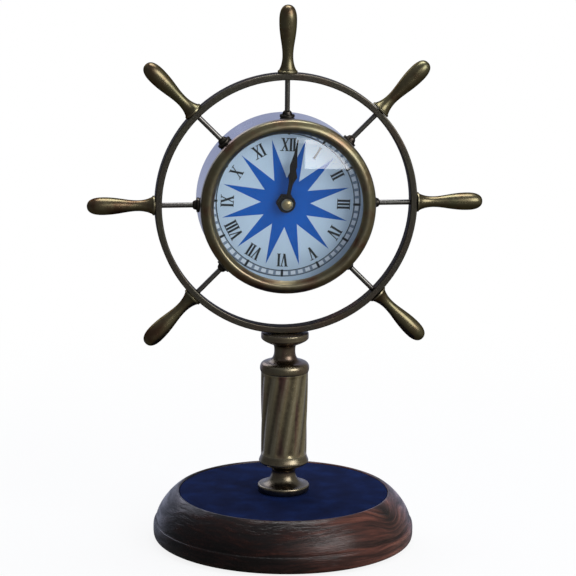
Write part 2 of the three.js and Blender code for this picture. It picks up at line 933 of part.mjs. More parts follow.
function minuteArbor() {
  const shaft = turned(
    new THREE.Path()
      .moveTo(0, arborFront)
      .lineTo(arborRadius, arborFront)
      .lineTo(arborRadius, upperGearRear - gearThickness / 2)
      .lineTo(pivotRadius, upperGearRear - gearThickness / 2)
      .lineTo(pivotRadius, pivotRear)
      .lineTo(0, pivotRear)
      .getPoints(),
    smallSides,
  );
  return join(shaft, plate(gearShape(cannonTeeth, 0), upperGearRear, gearThickness));
}

function minuteWheel() {
  const wheelPhase = meshPhase(0, cannonTeeth, minuteWheelAngle, minuteWheelTeeth);
  const wheel = plate(gearShape(minuteWheelTeeth, wheelPhase), upperGearRear, gearThickness);
  const pinionLength = upperGearRear - gearThickness / 2 - hourWheelFront;
  const pinion = plate(
    gearShape(minutePinionTeeth, minuteWheelAngle),
    upperGearRear - gearThickness / 2,
    pinionLength,
  );
  const pivot = bar(pivotRadius, coverRear - pivotReach, pivotRear);
  return join(wheel, pinion, pivot).translate(minuteWheelPlace.x, 0, minuteWheelPlace.y);
}

function hourWheel() {
  const facing = minuteWheelAngle + 180;
  const phase = meshPhase(minuteWheelAngle, minutePinionTeeth, facing, hourWheelTeeth);
  const shape = gearShape(hourWheelTeeth, phase);
  shape.holes.push(roundHole(0, 0, mix(hourTubeBore, hourTubeRadius, 0.5)));
  const wheel = plate(shape, hourWheelFront + gearThickness, gearThickness);
  const tube = collarRing(
    hourTubeBore,
    hourTubeRadius,
    hourHandFront - hourTubeEnd,
    hourWheelFront + gearThickness,
    smallSides,
  );
  return join(wheel, tube);
}

function settingKnob() {
  const away = settingPlace.clone().sub(minuteWheelPlace);
  const direction = THREE.MathUtils.radToDeg(away.angle());
  const wheelPhase = meshPhase(0, cannonTeeth, minuteWheelAngle, minuteWheelTeeth);
  const phase = meshPhase(wheelPhase, minuteWheelTeeth, direction, settingTeeth);
  const gear = plate(gearShape(settingTeeth, phase), upperGearRear, gearThickness);
  const pivot = bar(pivotRadius, coverRear - pivotReach, upperGearRear);
  const knobFront = caseRear + slipGap;
  const shaft = bar(knobShaftRadius, upperGearRear - gearThickness / 2, knobFront + knobThickness / 2);
  const ribs = new THREE.Shape(
    Array.from({ length: 2 * knobRibs }, (_, i) =>
      onDial(knobRadius - (i % 2) * knobRibDepth, (180 * i) / knobRibs),
    ),
  );
  const knob = plate(ribs, knobFront + knobThickness, knobThickness);
  return join(gear, pivot, shaft, knob).translate(settingPlace.x, 0, settingPlace.y);
}

function threadedBush() {
  return collarRing(bushBore, bushRadius, bushFront, coverRear - seatGap, columnSides);
}

function dialNut() {
  const shape = hexagon(dialNutFlats);
  shape.holes.push(roundHole(0, 0, bushRadius + pinGap));
  return plate(shape, dialFront - seatGap, dialNutHeight);
}

function dialWasher() {
  const front = dialRear + seatGap;
  return collarRing(bushHole, dialWasherRadius, front, front + dialWasherThickness, smallSides);
}

// Quartz movement, about the wheel's centre

function movementCover() {
  const sheet = plate(roundedSquare(caseSize, caseCorner), coverRear, coverThickness, cornerSteps);
  const bushSeat = bar(bushRadius + pinGap, coverFront - cutPast, coverRear + cutPast, columnSides);
  const pivotHoles = [minuteWheelPlace, settingPlace].map((place) =>
    bar(pivotBore, coverRear - pivotReach - pinGap, coverRear + cutPast).translate(place.x, 0, place.y),
  );
  return cut(sheet, bushSeat, ...pivotHoles);
}

function movementCase() {
  const depth = caseRear - caseFront;
  const body = plate(roundedSquare(caseSize, caseCorner), caseRear, depth, cornerSteps);
  const cavityWidth = caseSize - 2 * caseWall;
  const cavityTop = caseSize / 2 - caseWall;
  const cavity = block(cavityWidth, 2 * (depth - caseWall), cavityTop - cavityBottom)
    .translate(0, caseFront, (cavityTop + cavityBottom) / 2);
  const bayBottom = batteryPlace.z - batteryRadius - batteryAir;
  const bay = block(2 * bayHalfLength, 2 * caseDepth, bayTop - bayBottom)
    .translate(0, (caseFront + caseRear) / 2, (bayTop + bayBottom) / 2);
  const knobHole = bar(knobShaftRadius + pinGap, caseRear - caseWall - cutPast, caseRear + cutPast)
    .translate(settingPlace.x, 0, settingPlace.y);
  return cut(body, cavity, bay, knobHole);
}

function driveUnit() {
  const depth = driveUnitRear - driveUnitFront;
  const body = block(driveUnitWidth, depth, driveUnitHeight)
    .translate(0, (driveUnitFront + driveUnitRear) / 2, driveUnitMiddle);
  const pivotHoles = [new THREE.Vector2(0, 0), minuteWheelPlace].map((place) =>
    bar(pivotBore, driveUnitFront - cutPast, pivotRear + pinGap).translate(place.x, 0, place.y),
  );
  return cut(body, ...pivotHoles);
}

function circuitBoard() {
  return block(boardWidth, boardThickness, boardHeight).translate(
    (boardWidth - driveUnitWidth) / 2,
    driveUnitFront - seatGap - boardThickness / 2,
    driveUnitMiddle,
  );
}

function coil() {
  const half = coilLength / 2;
  const winding = half - coilFlangeThickness;
  const outline = new THREE.Path()
    .moveTo(0, -half)
    .lineTo(coilFlangeRadius, -half)
    .lineTo(coilFlangeRadius, -winding)
    .lineTo(coilRadius, -winding)
    .lineTo(coilRadius, winding)
    .lineTo(coilFlangeRadius, winding)
    .lineTo(coilFlangeRadius, half)
    .lineTo(0, half)
    .getPoints();
  return turnedUpright(outline, smallSides).translate(
    driveUnitWidth / 2 + slipGap + coilFlangeRadius,
    driveUnitRear - slipGap - coilFlangeRadius,
    driveUnitMiddle,
  );
}

function battery() {
  const half = batteryLength / 2;
  const shoulder = half - batteryButtonLength;
  const outline = new THREE.Path()
    .moveTo(0, -half)
    .lineTo(batteryRadius, -half)
    .lineTo(batteryRadius, shoulder)
    .lineTo(batteryButtonRadius, shoulder)
    .lineTo(batteryButtonRadius, half)
    .lineTo(0, half)
    .getPoints();
  return turned(outline, columnSides)
    .rotateZ(-Math.PI / 2)
    .translate(batteryPlace.x, batteryPlace.y, batteryPlace.z);
}

// A flat spring contact against the end wall of the bay, drawn for the end at +X.
function batteryContact(bump) {
  const wall = bayHalfLength - seatGap;
  const shape = new THREE.Shape()
    .moveTo(wall, -contactWidth / 2)
    .lineTo(wall, contactWidth / 2)
    .lineTo(wall - contactThickness, contactWidth / 2)
    .lineTo(wall - contactThickness - bump, 0)
    .lineTo(wall - contactThickness, -contactWidth / 2);
  return plate(shape, batteryPlace.y + contactWidth / 2, contactWidth)
    .translate(0, 0, batteryPlace.z);
}

function negativeContact() {
  return batteryContact(contactBump)
    .rotateZ(Math.PI)
    .translate(0, 2 * batteryPlace.y, 0);
}

// Assembly

function piece(name, geometry, material) {
  const mesh = new THREE.Mesh(geometry, material);
  mesh.name = name;
  return mesh;
}

function group(...members) {
  return new THREE.Group().add(...members);
}

const base = group(
  piece("bottom_felt_pad", feltPad(), greenFelt),
  piece("wooden_base", woodenBase(), sheesham),
  piece("top_felt_disc", feltDisc(), blueFelt),
  piece("base_washer", baseWasher(), steel),
  piece("base_nut", baseNut(), steel),
  piece("tie_rod", tieRod(), steel),
);

const column = group(
  piece("column_foot", columnFoot(), antiqueBrass),
  piece("fluted_column", flutedColumn(), antiqueBrass),
  piece("column_cap", columnCap(), antiqueBrass),
);

const wheel = group(
  piece("wheel_ring", wheelRing(), darkBrass),
  piece("ring_screw", ringScrewShape(0, 0), darkBrass),
);
spokeAngles.forEach((degrees, i) => {
  const spoke = group(
    piece(`spoke_rod_${i + 1}`, spokeRod(), darkBrass),
    piece(`handle_${i + 1}`, spokeHandle(), antiqueBrass),
    piece(`spoke_collar_${i + 1}`, spokeCollar(), darkBrass),
  );
  spoke.rotation.y = radians(90 - degrees);
  wheel.add(spoke);
});

const clockCase = group(
  piece("clock_drum", clockDrum(), polishedNickel),
  piece("bezel", clockBezel(), antiqueBrass),
  piece("glass", glass(), windowGlass),
  piece("spacer_ring", spacerRing(), greyCard),
  piece("dial", dial(), printedDial),
  piece("back_plate", backPlate(), antiqueBrass),
);
plateScrewPlaces().forEach((place, i) => {
  const screw = piece(`back_plate_screw_${i + 1}`, plateScrew(), yellowBrass);
  screw.position.set(place.x, 0, place.y);
  clockCase.add(screw);
});

const handWork = group(
  piece("hour_hand", hourHand(), blackLacquer),
  piece("minute_hand", minuteHand(), blackLacquer),
  piece("hand_cap_nut", handCapNut(), yellowBrass),
  piece("minute_arbor", minuteArbor(), steel),
  piece("minute_wheel", minuteWheel(), whitePlastic),
  piece("hour_wheel", hourWheel(), whitePlastic),
  piece("setting_knob", settingKnob(), blackPlastic),
);

const movement = group(
  piece("threaded_bush", threadedBush(), yellowBrass),
  piece("dial_nut", dialNut(), darkBrass),
  piece("dial_washer", dialWasher(), rubber),
  piece("movement_cover", movementCover(), blackPlastic),
  piece("movement_case", movementCase(), blackPlastic),
  piece("drive_unit", driveUnit(), whitePlastic),
  piece("circuit_board", circuitBoard(), boardGreen),
  piece("coil", coil(), copper),
  piece("battery", battery(), steel),
  piece("battery_contact_positive", batteryContact(0), steel),
  piece("battery_contact_negative", negativeContact(), steel),
);

const wheelAndClock = group(wheel, clockCase, handWork, movement);
wheelAndClock.position.z = wheelCentre;

const clock = group(base, column, wheelAndClock);
export default clock;
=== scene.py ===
import math

import bmesh
import bpy
from mathutils import Matrix, Vector


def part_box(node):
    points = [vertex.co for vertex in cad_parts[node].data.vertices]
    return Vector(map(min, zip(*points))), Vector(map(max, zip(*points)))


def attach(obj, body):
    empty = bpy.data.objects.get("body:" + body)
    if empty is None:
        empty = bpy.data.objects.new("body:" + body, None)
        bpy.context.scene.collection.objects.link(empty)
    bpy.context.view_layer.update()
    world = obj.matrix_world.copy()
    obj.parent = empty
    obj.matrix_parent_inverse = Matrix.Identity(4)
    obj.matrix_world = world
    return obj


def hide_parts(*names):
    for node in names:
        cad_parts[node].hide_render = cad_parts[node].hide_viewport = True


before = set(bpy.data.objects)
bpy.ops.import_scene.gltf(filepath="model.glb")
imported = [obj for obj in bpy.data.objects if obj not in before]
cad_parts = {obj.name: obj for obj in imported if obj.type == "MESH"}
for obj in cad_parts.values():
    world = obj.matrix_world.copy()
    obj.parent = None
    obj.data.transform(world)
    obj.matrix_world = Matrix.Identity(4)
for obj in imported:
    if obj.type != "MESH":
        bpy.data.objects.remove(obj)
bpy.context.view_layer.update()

# Ship's wheel table clock: its looks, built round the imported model. Sizes in the dictionaries are
# millimetres, places come from the frame, and meshes are in metres. Front is -Y, up is +Z.
print("frame loaded:", len(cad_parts), "nodes")


# small maths

def mix(a, b, share):
    return a + (b - a) * share


def between(a, b, across, along):  # a point part of the way from a to b, sideways and lengthwise
    return mix(a[0], b[0], across), mix(a[1], b[1], along)


def pairs(items, closed=True):  # each item with the next one, and the last with the first if closed
    return zip(items, items[1:] + (items[:1] if closed else []))


def onDial(radius, degrees):  # clockwise from twelve, x to the right and z up
    angle = math.radians(degrees)
    return Vector((radius * math.sin(angle), radius * math.cos(angle)))


def lowest(node, axis):  # lowest side of a node along x, y or z, in millimetres
    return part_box(node)[0]["xyz".index(axis)] * 1000


def highest(node, axis):
    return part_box(node)[1]["xyz".index(axis)] * 1000


def middle(node, axis):
    return (lowest(node, axis) + highest(node, axis)) / 2


# places: each turns a piece's own millimetres into the frame's metres

wheelCentre = middle("clock_drum", "z")
gap = 0.05  # left between pieces that sit on each other, as between the solids
upright = Matrix.Scale(0.001, 4)


def upwards(height):  # turned about the column's axis
    return upright @ Matrix.Translation((0, 0, height))


onWheel = upwards(wheelCentre)  # flat against the dial, about its centre


def throughClock(x=0, y=0, z=0):  # turned about the clock's axis, with heights that run rearwards
    return upright @ Matrix.Translation((x, y, wheelCentre + z)) @ Matrix.Rotation(-math.pi / 2, 4, "X")


def alongSpoke(degrees, start):  # turned about a spoke, with heights that run outwards
    return onWheel @ Matrix.Rotation(math.radians(90 - degrees), 4, "Y") @ Matrix.Translation((0, 0, start))


# outlines: lists of (radius, height) in millimetres

# Bezier stretches one after another. Each is its two handles, its end and its number of steps.
def curves(start, *stretches):
    points = [start]
    for leave, arrive, end, steps in stretches:
        ends = (points[-1], leave, arrive, end)
        for i in range(1, steps + 1):
            t = i / steps
            weights = ((1 - t) ** 3, 3 * t * (1 - t) ** 2, 3 * (1 - t) * t ** 2, t ** 3)
            points.append(tuple(sum(w * p[k] for w, p in zip(weights, ends)) for k in (0, 1)))
    return points


def rounded(corners, closed=True, steps=5):  # corners as (x, y, fillet radius)
    points = []
    for i, corner in enumerate(corners):
        here = Vector(corner[:2])
        if len(corner) == 2:
            points.append(tuple(here))
            continue
        before = (Vector(corners[i - 1][:2]) - here).normalized()
        after = (Vector(corners[(i + 1) % len(corners)][:2]) - here).normalized()
        half = before.angle(after) / 2
        reach = corner[2] / math.tan(half)
        centre = here + (before + after).normalized() * (corner[2] / math.sin(half))
        first = here + before * reach - centre
        last = here + after * reach - centre
        sweep = first.angle_signed(last)
        points += [tuple(centre + Matrix.Rotation(-sweep * k / steps, 2) @ first) for k in range(steps + 1)]
    return points


def spread(points, closed, step):  # adds points so that no stretch is longer than the step
    result = []
    for a, b in pairs(points, closed):
        count = max(1, math.ceil((Vector(b) - Vector(a)).length / step))
        result += [tuple(Vector(a).lerp(Vector(b), k / count)) for k in range(count)]
    return result if closed else result + points[-1:]


def lengthsOf(points):  # how far along the outline each point lies
    lengths = [0]
    for a, b in pairs(points, closed=False):
        lengths.append(lengths[-1] + (Vector(b) - Vector(a)).length)
    return lengths


# How proud each point stands, 1 on a crest and 0 in a hollow, from how the outline bends nearby.
def reliefOf(points, lengths, closed):
    nearby = 1.1
    count = len(points)
    bends = []
    for i in range(count):
        before, here, after = (Vector(points[(i + k) % count]) for k in (-1, 0, 1))
        atEnd = not closed and i in (0, count - 1)
        straight = atEnd or not (here - before).length or not (after - here).length
        bends.append(0 if straight else (here - before).angle_signed(after - here, 0))
    sign = -1 if sum(bends) < 0 else 1
    relief = []
    for here in lengths:
        near = [(bend, length - here) for bend, length in zip(bends, lengths)
                if abs(length - here) < 3 * nearby]
        bend = sum(bend * math.exp(-(away / nearby) ** 2) for bend, away in near)
        relief.append(0.5 + 0.5 * math.tanh(1.1 * sign * bend))
    return relief


# meshes

def finishMesh(name, bm, place, sharp=38):
    bmesh.ops.remove_doubles(bm, verts=bm.verts, dist=1e-5)
    bmesh.ops.recalc_face_normals(bm, faces=bm.faces)
    mesh = bpy.data.meshes.new(name)
    bm.to_mesh(mesh)
    bm.free()
    mesh.transform(place)
    mesh.polygons.foreach_set("use_smooth", [True] * len(mesh.polygons))
    mesh.set_sharp_from_angle(angle=math.radians(sharp))
    piece = bpy.data.objects.new(name, mesh)
    bpy.context.scene.collection.objects.link(piece)
    return piece


# A solid of revolution, whose outline gets stretches no longer than the step. Each vertex also
# stores its length along the outline, for turning marks, and how proud it stands, for the
# rubbed crests and the dark hollows.
def makeTurned(name, outline, place, sides, step, closed=True, shape=None):
    points = spread(outline, closed, step)
    lengths = lengthsOf(points)
    relief = reliefOf(points, lengths, closed)
    bm = bmesh.new()
    turnedLayer = bm.verts.layers.float.new("turned")
    reliefLayer = bm.verts.layers.float.new("relief")
    rings = []
    for i, (radius, height) in enumerate(points):
        onAxis = radius < 1e-6
        ring = []
        for k in range(1 if onAxis else sides):
            angle = 2 * math.pi * k / sides
            reach, proud = shape(radius, height, angle, relief[i]) if shape else (radius, relief[i])
            vert = bm.verts.new((reach * math.cos(angle), reach * math.sin(angle), height))
            vert[turnedLayer] = lengths[i]
            vert[reliefLayer] = proud
            ring.append(vert)
        rings.append(ring)
    for low, high in pairs(rings, closed):
        if len(low) == 1 and len(high) == 1:
            continue
        for k in range(sides):
            after = (k + 1) % sides
            corners = [ring[i % len(ring)] for ring, i in ((low, k), (low, after), (high, after), (high, k))]
            bm.faces.new(list(dict.fromkeys(corners)))
    return finishMesh(name, bm, place)


def extrude(bm, faces, depth):  # gives faces a thickness along Y
    made = bmesh.ops.extrude_face_region(bm, geom=faces)["geom"]
    verts = [part for part in made if isinstance(part, bmesh.types.BMVert)]
    bmesh.ops.translate(bm, verts=verts, vec=(0, depth, 0))


# A flat piece cut from sheet. The loops are (x, z) seen from the front, the outside first.
def makePlate(name, loops, front, thickness, bevel=0):
    bm = bmesh.new()
    edges = []
    for loop in loops:
        edges += [bm.edges.new(pair) for pair in pairs([bm.verts.new((x, front, z)) for x, z in loop])]
    bmesh.ops.triangle_fill(bm, use_beauty=True, edges=edges)
    extrude(bm, bm.faces[:], thickness)
    bmesh.ops.recalc_face_normals(bm, faces=bm.faces)
    if bevel:
        rims = [edge for edge in bm.edges if len(edge.link_faces) == 2
                and edge.calc_face_angle() > math.radians(60)
                and abs(edge.verts[0].co.y - edge.verts[1].co.y) < 1e-6]
        bmesh.ops.bevel(bm, geom=rims, offset=bevel, segments=2, profile=0.5, affect="EDGES",
                        clamp_overlap=True)
    return finishMesh(name, bm, onWheel, sharp=30)


def circle(radius, count, x=0, z=0):
    return [(x + radius * math.cos(2 * math.pi * k / count), z + radius * math.sin(2 * math.pi * k / count))
            for k in range(count)]


# Cuts the driver's slot across a screw head that faces +Z at the given height in its own place.
def cutSlot(piece, place, top, slot):
    bm = bmesh.new()
    bmesh.ops.create_cube(bm, size=1)
    bmesh.ops.scale(bm, verts=bm.verts, vec=(slot["length"], slot["width"], 2 * slot["depth"]))
    bmesh.ops.translate(bm, verts=bm.verts, vec=(0, 0, top))
    tool = finishMesh("slotTool", bm, place)
    modifier = piece.modifiers.new("cut", "BOOLEAN")
    modifier.operation = "DIFFERENCE"
    modifier.solver = "EXACT"
    modifier.object = tool
    graph = bpy.context.evaluated_depsgraph_get()
    mesh = bpy.data.meshes.new_from_object(piece.evaluated_get(graph))
    piece.modifiers.clear()
    piece.data = mesh
    mesh.set_sharp_from_angle(angle=math.radians(38))
    bpy.data.objects.remove(tool)


def dress(piece, material):
    piece.data.materials.clear()
    piece.data.materials.append(material)


def wear(piece, material, slot, *nodes, body="stand_and_case"):  # its finish and the nodes it stands for
    dress(piece, material)
    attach(piece, body)
    if nodes:
        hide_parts(*nodes)


# materials

def srgb(code):  # "#rrggbb" to linear red, green, blue and alpha
    channels = [int(code[k:k + 2], 16) / 255 for k in (1, 3, 5)]
    return [c / 12.92 if c <= 0.04045 else ((c + 0.055) / 1.055) ** 2.4 for c in channels] + [1]


def connect(tree, node, inputs):  # each input gets a value, a socket, or the first output of a node
    for name, value in inputs.items():
        if isinstance(value, bpy.types.Node):
            value = next(socket for socket in value.outputs if socket.enabled)
        if isinstance(value, bpy.types.NodeSocket):
            tree.links.new(value, node.inputs[name])
        else:
            node.inputs[name].default_value = value


def addNode(tree, kind, inputs=None, stops=(), **settings):  # stops: a ramp's positions and colours
    node = tree.nodes.new("ShaderNode" + kind)
    for name, value in settings.items():
        setattr(node, name, value)
    connect(tree, node, inputs or {})
    if stops:
        elements = node.color_ramp.elements
        while len(elements) < len(stops):
            elements.new(0.5)
        for element, (position, colour) in zip(elements, stops):
            element.position = position
            element.color = srgb(colour) if isinstance(colour, str) else [colour] * 3 + [1]
    return node


def startMaterial(name, constants):  # a material whose shader has these constants on its sockets
    material = bpy.data.materials.new(name)
    material.use_nodes = True
    tree = material.node_tree
    shader = tree.nodes["Principled BSDF"]
    connect(tree, shader, constants)
    return material, tree, shader


def inMillimetres(tree):  # the frame's coordinates in millimetres, so that 1 / scale is a real size
    place = addNode(tree, "TexCoord").outputs["Object"]
    return addNode(tree, "Mapping", {"Vector": place, "Scale": (1000, 1000, 1000)})


white = srgb("#ffffff")
noiseRange = {"From Min": 0.3, "From Max": 0.7}  # where most of a noise's values lie


# Brass, cast and turned, darkened with a chemical patina, rubbed back on its crests and
# lacquered: hollows stay umber, crests go to pale gold, and cloudy olive and red patches lie between.
def makeAgedBrass(name, look):
    material, tree, shader = startMaterial(name, {
        "Metallic": 1, "Coat Weight": look["coat"], "Coat Roughness": 0.2, "Anisotropic": look["brushing"],
        "Specular Tint": srgb(look["edge"])})
    place = inMillimetres(tree)
    drawn = addNode(tree, "Mapping", {"Vector": place, "Scale": (1, 1, look["drawn"])})
    patches = addNode(tree, "TexNoise", {
        "Vector": drawn, "Scale": 1 / look["patch"], "Detail": 3, "Distortion": 0.4})
    tint = addNode(tree, "ValToRGB", {"Fac": patches}, (
        (0.34, look["red"]), (0.5, look["olive"]), (0.68, look["green"])))
    mottle = addNode(tree, "TexNoise", {"Vector": place, "Scale": 1 / look["mottle"], "Detail": 2})
    relief = addNode(tree, "Attribute", attribute_name="relief").outputs["Fac"]
    proud = addNode(tree, "Math", {0: mottle, 1: 0.3, 2: relief}, operation="MULTIPLY_ADD")
    clean = addNode(tree, "MapRange", {
        "Value": proud, "From Min": 0.2, "From Max": 0.62, "To Min": 0.3, "To Max": 1.0})
    stained = addNode(tree, "Mix", {"Factor": clean, "A": srgb(look["hollow"]), "B": tint}, data_type="RGBA")
    rubbed = addNode(tree, "MapRange", {
        "Value": proud, "From Min": 0.8, "From Max": 1.15, "To Max": look["rub"]})
    colour = addNode(tree, "Mix", {"Factor": rubbed, "A": stained, "B": srgb(look["crest"])},
                     data_type="RGBA")
    dull = addNode(tree, "MapRange", {
        "Value": mottle, **noiseRange,
        "To Min": look["roughness"] - 0.04, "To Max": look["roughness"] + 0.06})
    # Turning marks are drawn 0.7 mm apart, coarser than the real 0.1 mm, so that they show.
    turned = addNode(tree, "CombineXYZ", {
        "X": addNode(tree, "Attribute", attribute_name="turned").outputs["Fac"]})
    marks = addNode(tree, "TexNoise", {"Vector": turned, "Scale": 1 / 0.7, "Detail": 2, "Roughness": 0.6})
    pits = addNode(tree, "TexNoise", {"Vector": place, "Scale": 1 / 0.9, "Detail": 3})
    height = addNode(tree, "Math", {0: marks, 1: pits}, operation="ADD")
    bump = addNode(tree, "Bump", {"Height": height, "Strength": 0.05, "Distance": 0.0001})
    connect(tree, shader, {"Base Color": colour, "Roughness": dull, "Normal": bump})
    return material


# red, olive and green are the patches, as wide as patch and longer where drawn is small, and
# mottle is a finer cloud. rub is how far the crests go to their pale colour, and a dark edge
# makes the patina mirror less at a slant.
antiqueBrassLook = {
    "red": "#7b5a44", "olive": "#85795b", "green": "#827c5e", "hollow": "#40352a", "crest": "#bab59f",
    "patch": 15, "drawn": 1, "mottle": 2.2, "roughness": 0.32, "brushing": 0.1, "rub": 0.4, "coat": 0.25,
    "edge": "#ffffff"}
flutedBrassLook = dict(
    antiqueBrassLook, olive="#ac9f7d", red="#986f66", green="#aca283", hollow="#35261f", crest="#ddd3b4",
    patch=6, drawn=0.12, roughness=0.3, rub=0.6, coat=0.5)
columnBrassLook = dict(
    antiqueBrassLook, olive="#827660", red="#735c50", green="#7f7862", hollow="#2e261f", crest="#b8ae92",
    roughness=0.28, coat=0.5, edge="#c4c4c8")
handleBrassLook = dict(
    antiqueBrassLook, olive="#7c7359", red="#67513f", green="#757257", crest="#b2ab90", roughness=0.3,
    rub=0.35, coat=0.0, edge="#55555a")
rodBrassLook = dict(
    antiqueBrassLook, olive="#787672", red="#706c69", green="#75756e", hollow="#45423f", crest="#9a9892",
    roughness=0.28, rub=0.3)
darkBrassLook = dict(
    antiqueBrassLook, olive="#5b5750", red="#65574c", green="#5f5d50", hollow="#342f2b", crest="#7d7668",
    patch=18, mottle=2.0, roughness=0.36, rub=0.25, coat=0.1, edge="#70707a")
collarBrassLook = dict(
    darkBrassLook, olive="#46423d", red="#4a403a", green="#47463d", hollow="#2a2724", crest="#6b655a")
antiqueBrass = makeAgedBrass("antiqueBrassRelievedAndLacquered", antiqueBrassLook)
flutedBrass = makeAgedBrass("antiqueBrassFlutedTube", flutedBrassLook)
columnBrass = makeAgedBrass("antiqueBrassTurnedColumn", columnBrassLook)
handleBrass = makeAgedBrass("antiqueBrassTurnedHandles", handleBrassLook)
rodBrass = makeAgedBrass("gunmetalDrawnRod", rodBrassLook)
darkBrass = makeAgedBrass("gunmetalPatinatedBrass", darkBrassLook)
collarBrass = makeAgedBrass("gunmetalTurnedCollar", collarBrassLook)

# Bands, fibres and pores are the figure's size along, across and through the layers, with the
# noise's detail, roughness and distortion. The layers are some 3 mm thick and the pores 4 mm
# long. Fibres are drawn 0.8 mm thick, coarser than the real 0.1 mm, so that they show.
wood = {
    "turn": -32, "lean": 3, "knot": (55, -39, 25), "knotReach": 20, "knotLift": 6, "heartReach": 16,
    "bands": ((75, 20, 3.2), 4, 0.62, 0.15), "fibres": ((26, 3, 0.8), 4, 0.6, 0),
    "pores": ((4, 0.9, 0.45), 2, 0.5, 0), "wave": (80, 50, 40), "cloud": 38,
    "tone": ((0.3, "#1d0f0c"), (0.43, "#38201a"), (0.52, "#502e26"), (0.6, "#6b4035"), (0.72, "#855a4b")),
    # side and its reach paint shade across X: darker towards the left, nearly none towards the right.
    "paintedShadeReach": 75, "side": ((0.0, "#564e4a"), (0.28, "#6a605a"), (0.5, "#a3968f"), (0.75, "#fdf8f6"))}


# Sheesham, turned and polished under lacquer: the grain runs level, a little off X, so it streaks
# round the front. Open pores are short dashes along it, filled most of the way by the lacquer.
def makeSheesham():
    material, tree, shader = startMaterial("sheeshamTurnedAndLacquered", {
        "IOR": 1.52, "Specular IOR Level": 0.15,
        "Coat Weight": 0.45, "Coat Roughness": 0.18, "Coat IOR": 1.48})
    place = inMillimetres(tree)
    along = addNode(tree, "Mapping", {"Vector": place, "Rotation": (0, 0, math.radians(wood["turn"]))})
    toKnot = addNode(tree, "VectorMath", {0: place, 1: wood["knot"]}, operation="DISTANCE")
    pull = addNode(tree, "MapRange", {
        "Value": toKnot, "From Min": 0, "From Max": wood["knotReach"],
        "To Min": wood["knotLift"], "To Max": 0}, interpolation_type="SMOOTHSTEP")
    waved = addNode(tree, "Mapping", {"Vector": along, "Scale": tuple(1 / size for size in wood["wave"])})
    wave = addNode(tree, "TexNoise", {"Vector": waved, "Scale": 1, "Detail": 2})
    bend = addNode(tree, "MapRange", {
        "Value": wave, "From Min": 0.25, "From Max": 0.75, "To Min": -wood["lean"], "To Max": wood["lean"]})
    lift = addNode(tree, "Math", {0: bend, 1: pull}, operation="ADD")
    shift = addNode(tree, "CombineXYZ", {"Y": lift, "Z": lift})
    bent = addNode(tree, "VectorMath", {0: along, 1: shift}, operation="ADD")
    figure = {}
    for name in ("bands", "fibres", "pores"):
        sizes, detail, roughness, distortion = wood[name]
        scaled = addNode(tree, "Mapping", {"Vector": bent, "Scale": tuple(1 / size for size in sizes)})
        figure[name] = addNode(tree, "TexNoise", {
            "Vector": scaled, "Scale": 1, "Detail": detail, "Roughness": roughness,
            "Distortion": distortion})
    clouds = addNode(tree, "TexNoise", {"Vector": place, "Scale": 1 / wood["cloud"], "Detail": 2})
    heart = addNode(tree, "MapRange", {"Value": toKnot, "From Min": 0, "From Max": wood["heartReach"]})
    # Painted shade: the colour is multiplied darker and darker towards the left across X, and hardly at all
    # towards the right.
    across = addNode(tree, "SeparateXYZ", {"Vector": place}).outputs["X"]
    side = addNode(tree, "MapRange", {
        "Value": across, "From Min": -wood["paintedShadeReach"], "From Max": wood["paintedShadeReach"]})
    colour = addNode(tree, "ValToRGB", {"Fac": figure["bands"]}, wood["tone"])
    for source, share, stops in (
            (figure["fibres"], 0.8, ((0.36, 0.5), (0.58, 1.0))),
            (clouds, 0.75, ((0.36, 0.6), (0.62, 1.0))),
            (heart, 1, ((0.12, 0.08), (0.45, 0.5), (0.85, 1.0))),
            (side, 1, wood["side"])):
        shade = addNode(tree, "ValToRGB", {"Fac": source}, stops)
        colour = addNode(tree, "Mix", {"Factor": share, "A": colour, "B": shade},
                         data_type="RGBA", blend_type="MULTIPLY")
    # Pale layers polish up, dark porous ones stay dull.
    dull = addNode(tree, "MapRange", {
        "Value": figure["bands"], "From Min": 0.38, "From Max": 0.62, "To Min": 0.6, "To Max": 0.26})
    bump = addNode(tree, "Bump", {"Height": figure["pores"], "Strength": 0.12, "Distance": 0.0002})
    ripple = addNode(tree, "Math", {0: figure["fibres"], 1: 0.07, 2: figure["bands"]},
                     operation="MULTIPLY_ADD")
    polish = addNode(tree, "Bump", {"Height": ripple, "Strength": 0.9, "Distance": 0.0012})
    connect(tree, shader, {"Base Color": colour, "Roughness": dull, "Normal": bump, "Coat Normal": polish})
    return material


# Wool felt, pressed: matt, slightly cloudy, with short fibres lying every way on a soft sheen.
# Fibres are drawn 0.55 mm apart, coarser than the real 0.03 mm, so that they show.
def makeFelt(name, deep, mid, light, sheen):
    material, tree, shader = startMaterial(name, {
        "Roughness": 0.95, "IOR": 1.5, "Specular IOR Level": 0.08,
        "Sheen Weight": 0.15, "Sheen Roughness": 0.45, "Sheen Tint": srgb(sheen)})
    place = inMillimetres(tree)
    fibres = addNode(tree, "TexNoise", {
        "Vector": place, "Scale": 1 / 0.55, "Detail": 5, "Roughness": 0.75, "Distortion": 1.6})
    clouds = addNode(tree, "TexNoise", {"Vector": place, "Scale": 1 / 14, "Detail": 3})
    half = addNode(tree, "Math", {0: fibres, 1: 0.5}, operation="MULTIPLY")
    depth = addNode(tree, "Math", {0: clouds, 1: 0.5, 2: half}, operation="MULTIPLY_ADD")
    tone = addNode(tree, "ValToRGB", {"Fac": depth}, ((0.36, deep), (0.5, mid), (0.64, light)))
    bump = addNode(tree, "Bump", {"Height": fibres, "Strength": 0.5, "Distance": 0.0002})
    connect(tree, shader, {"Base Color": tone, "Normal": bump})
    return material


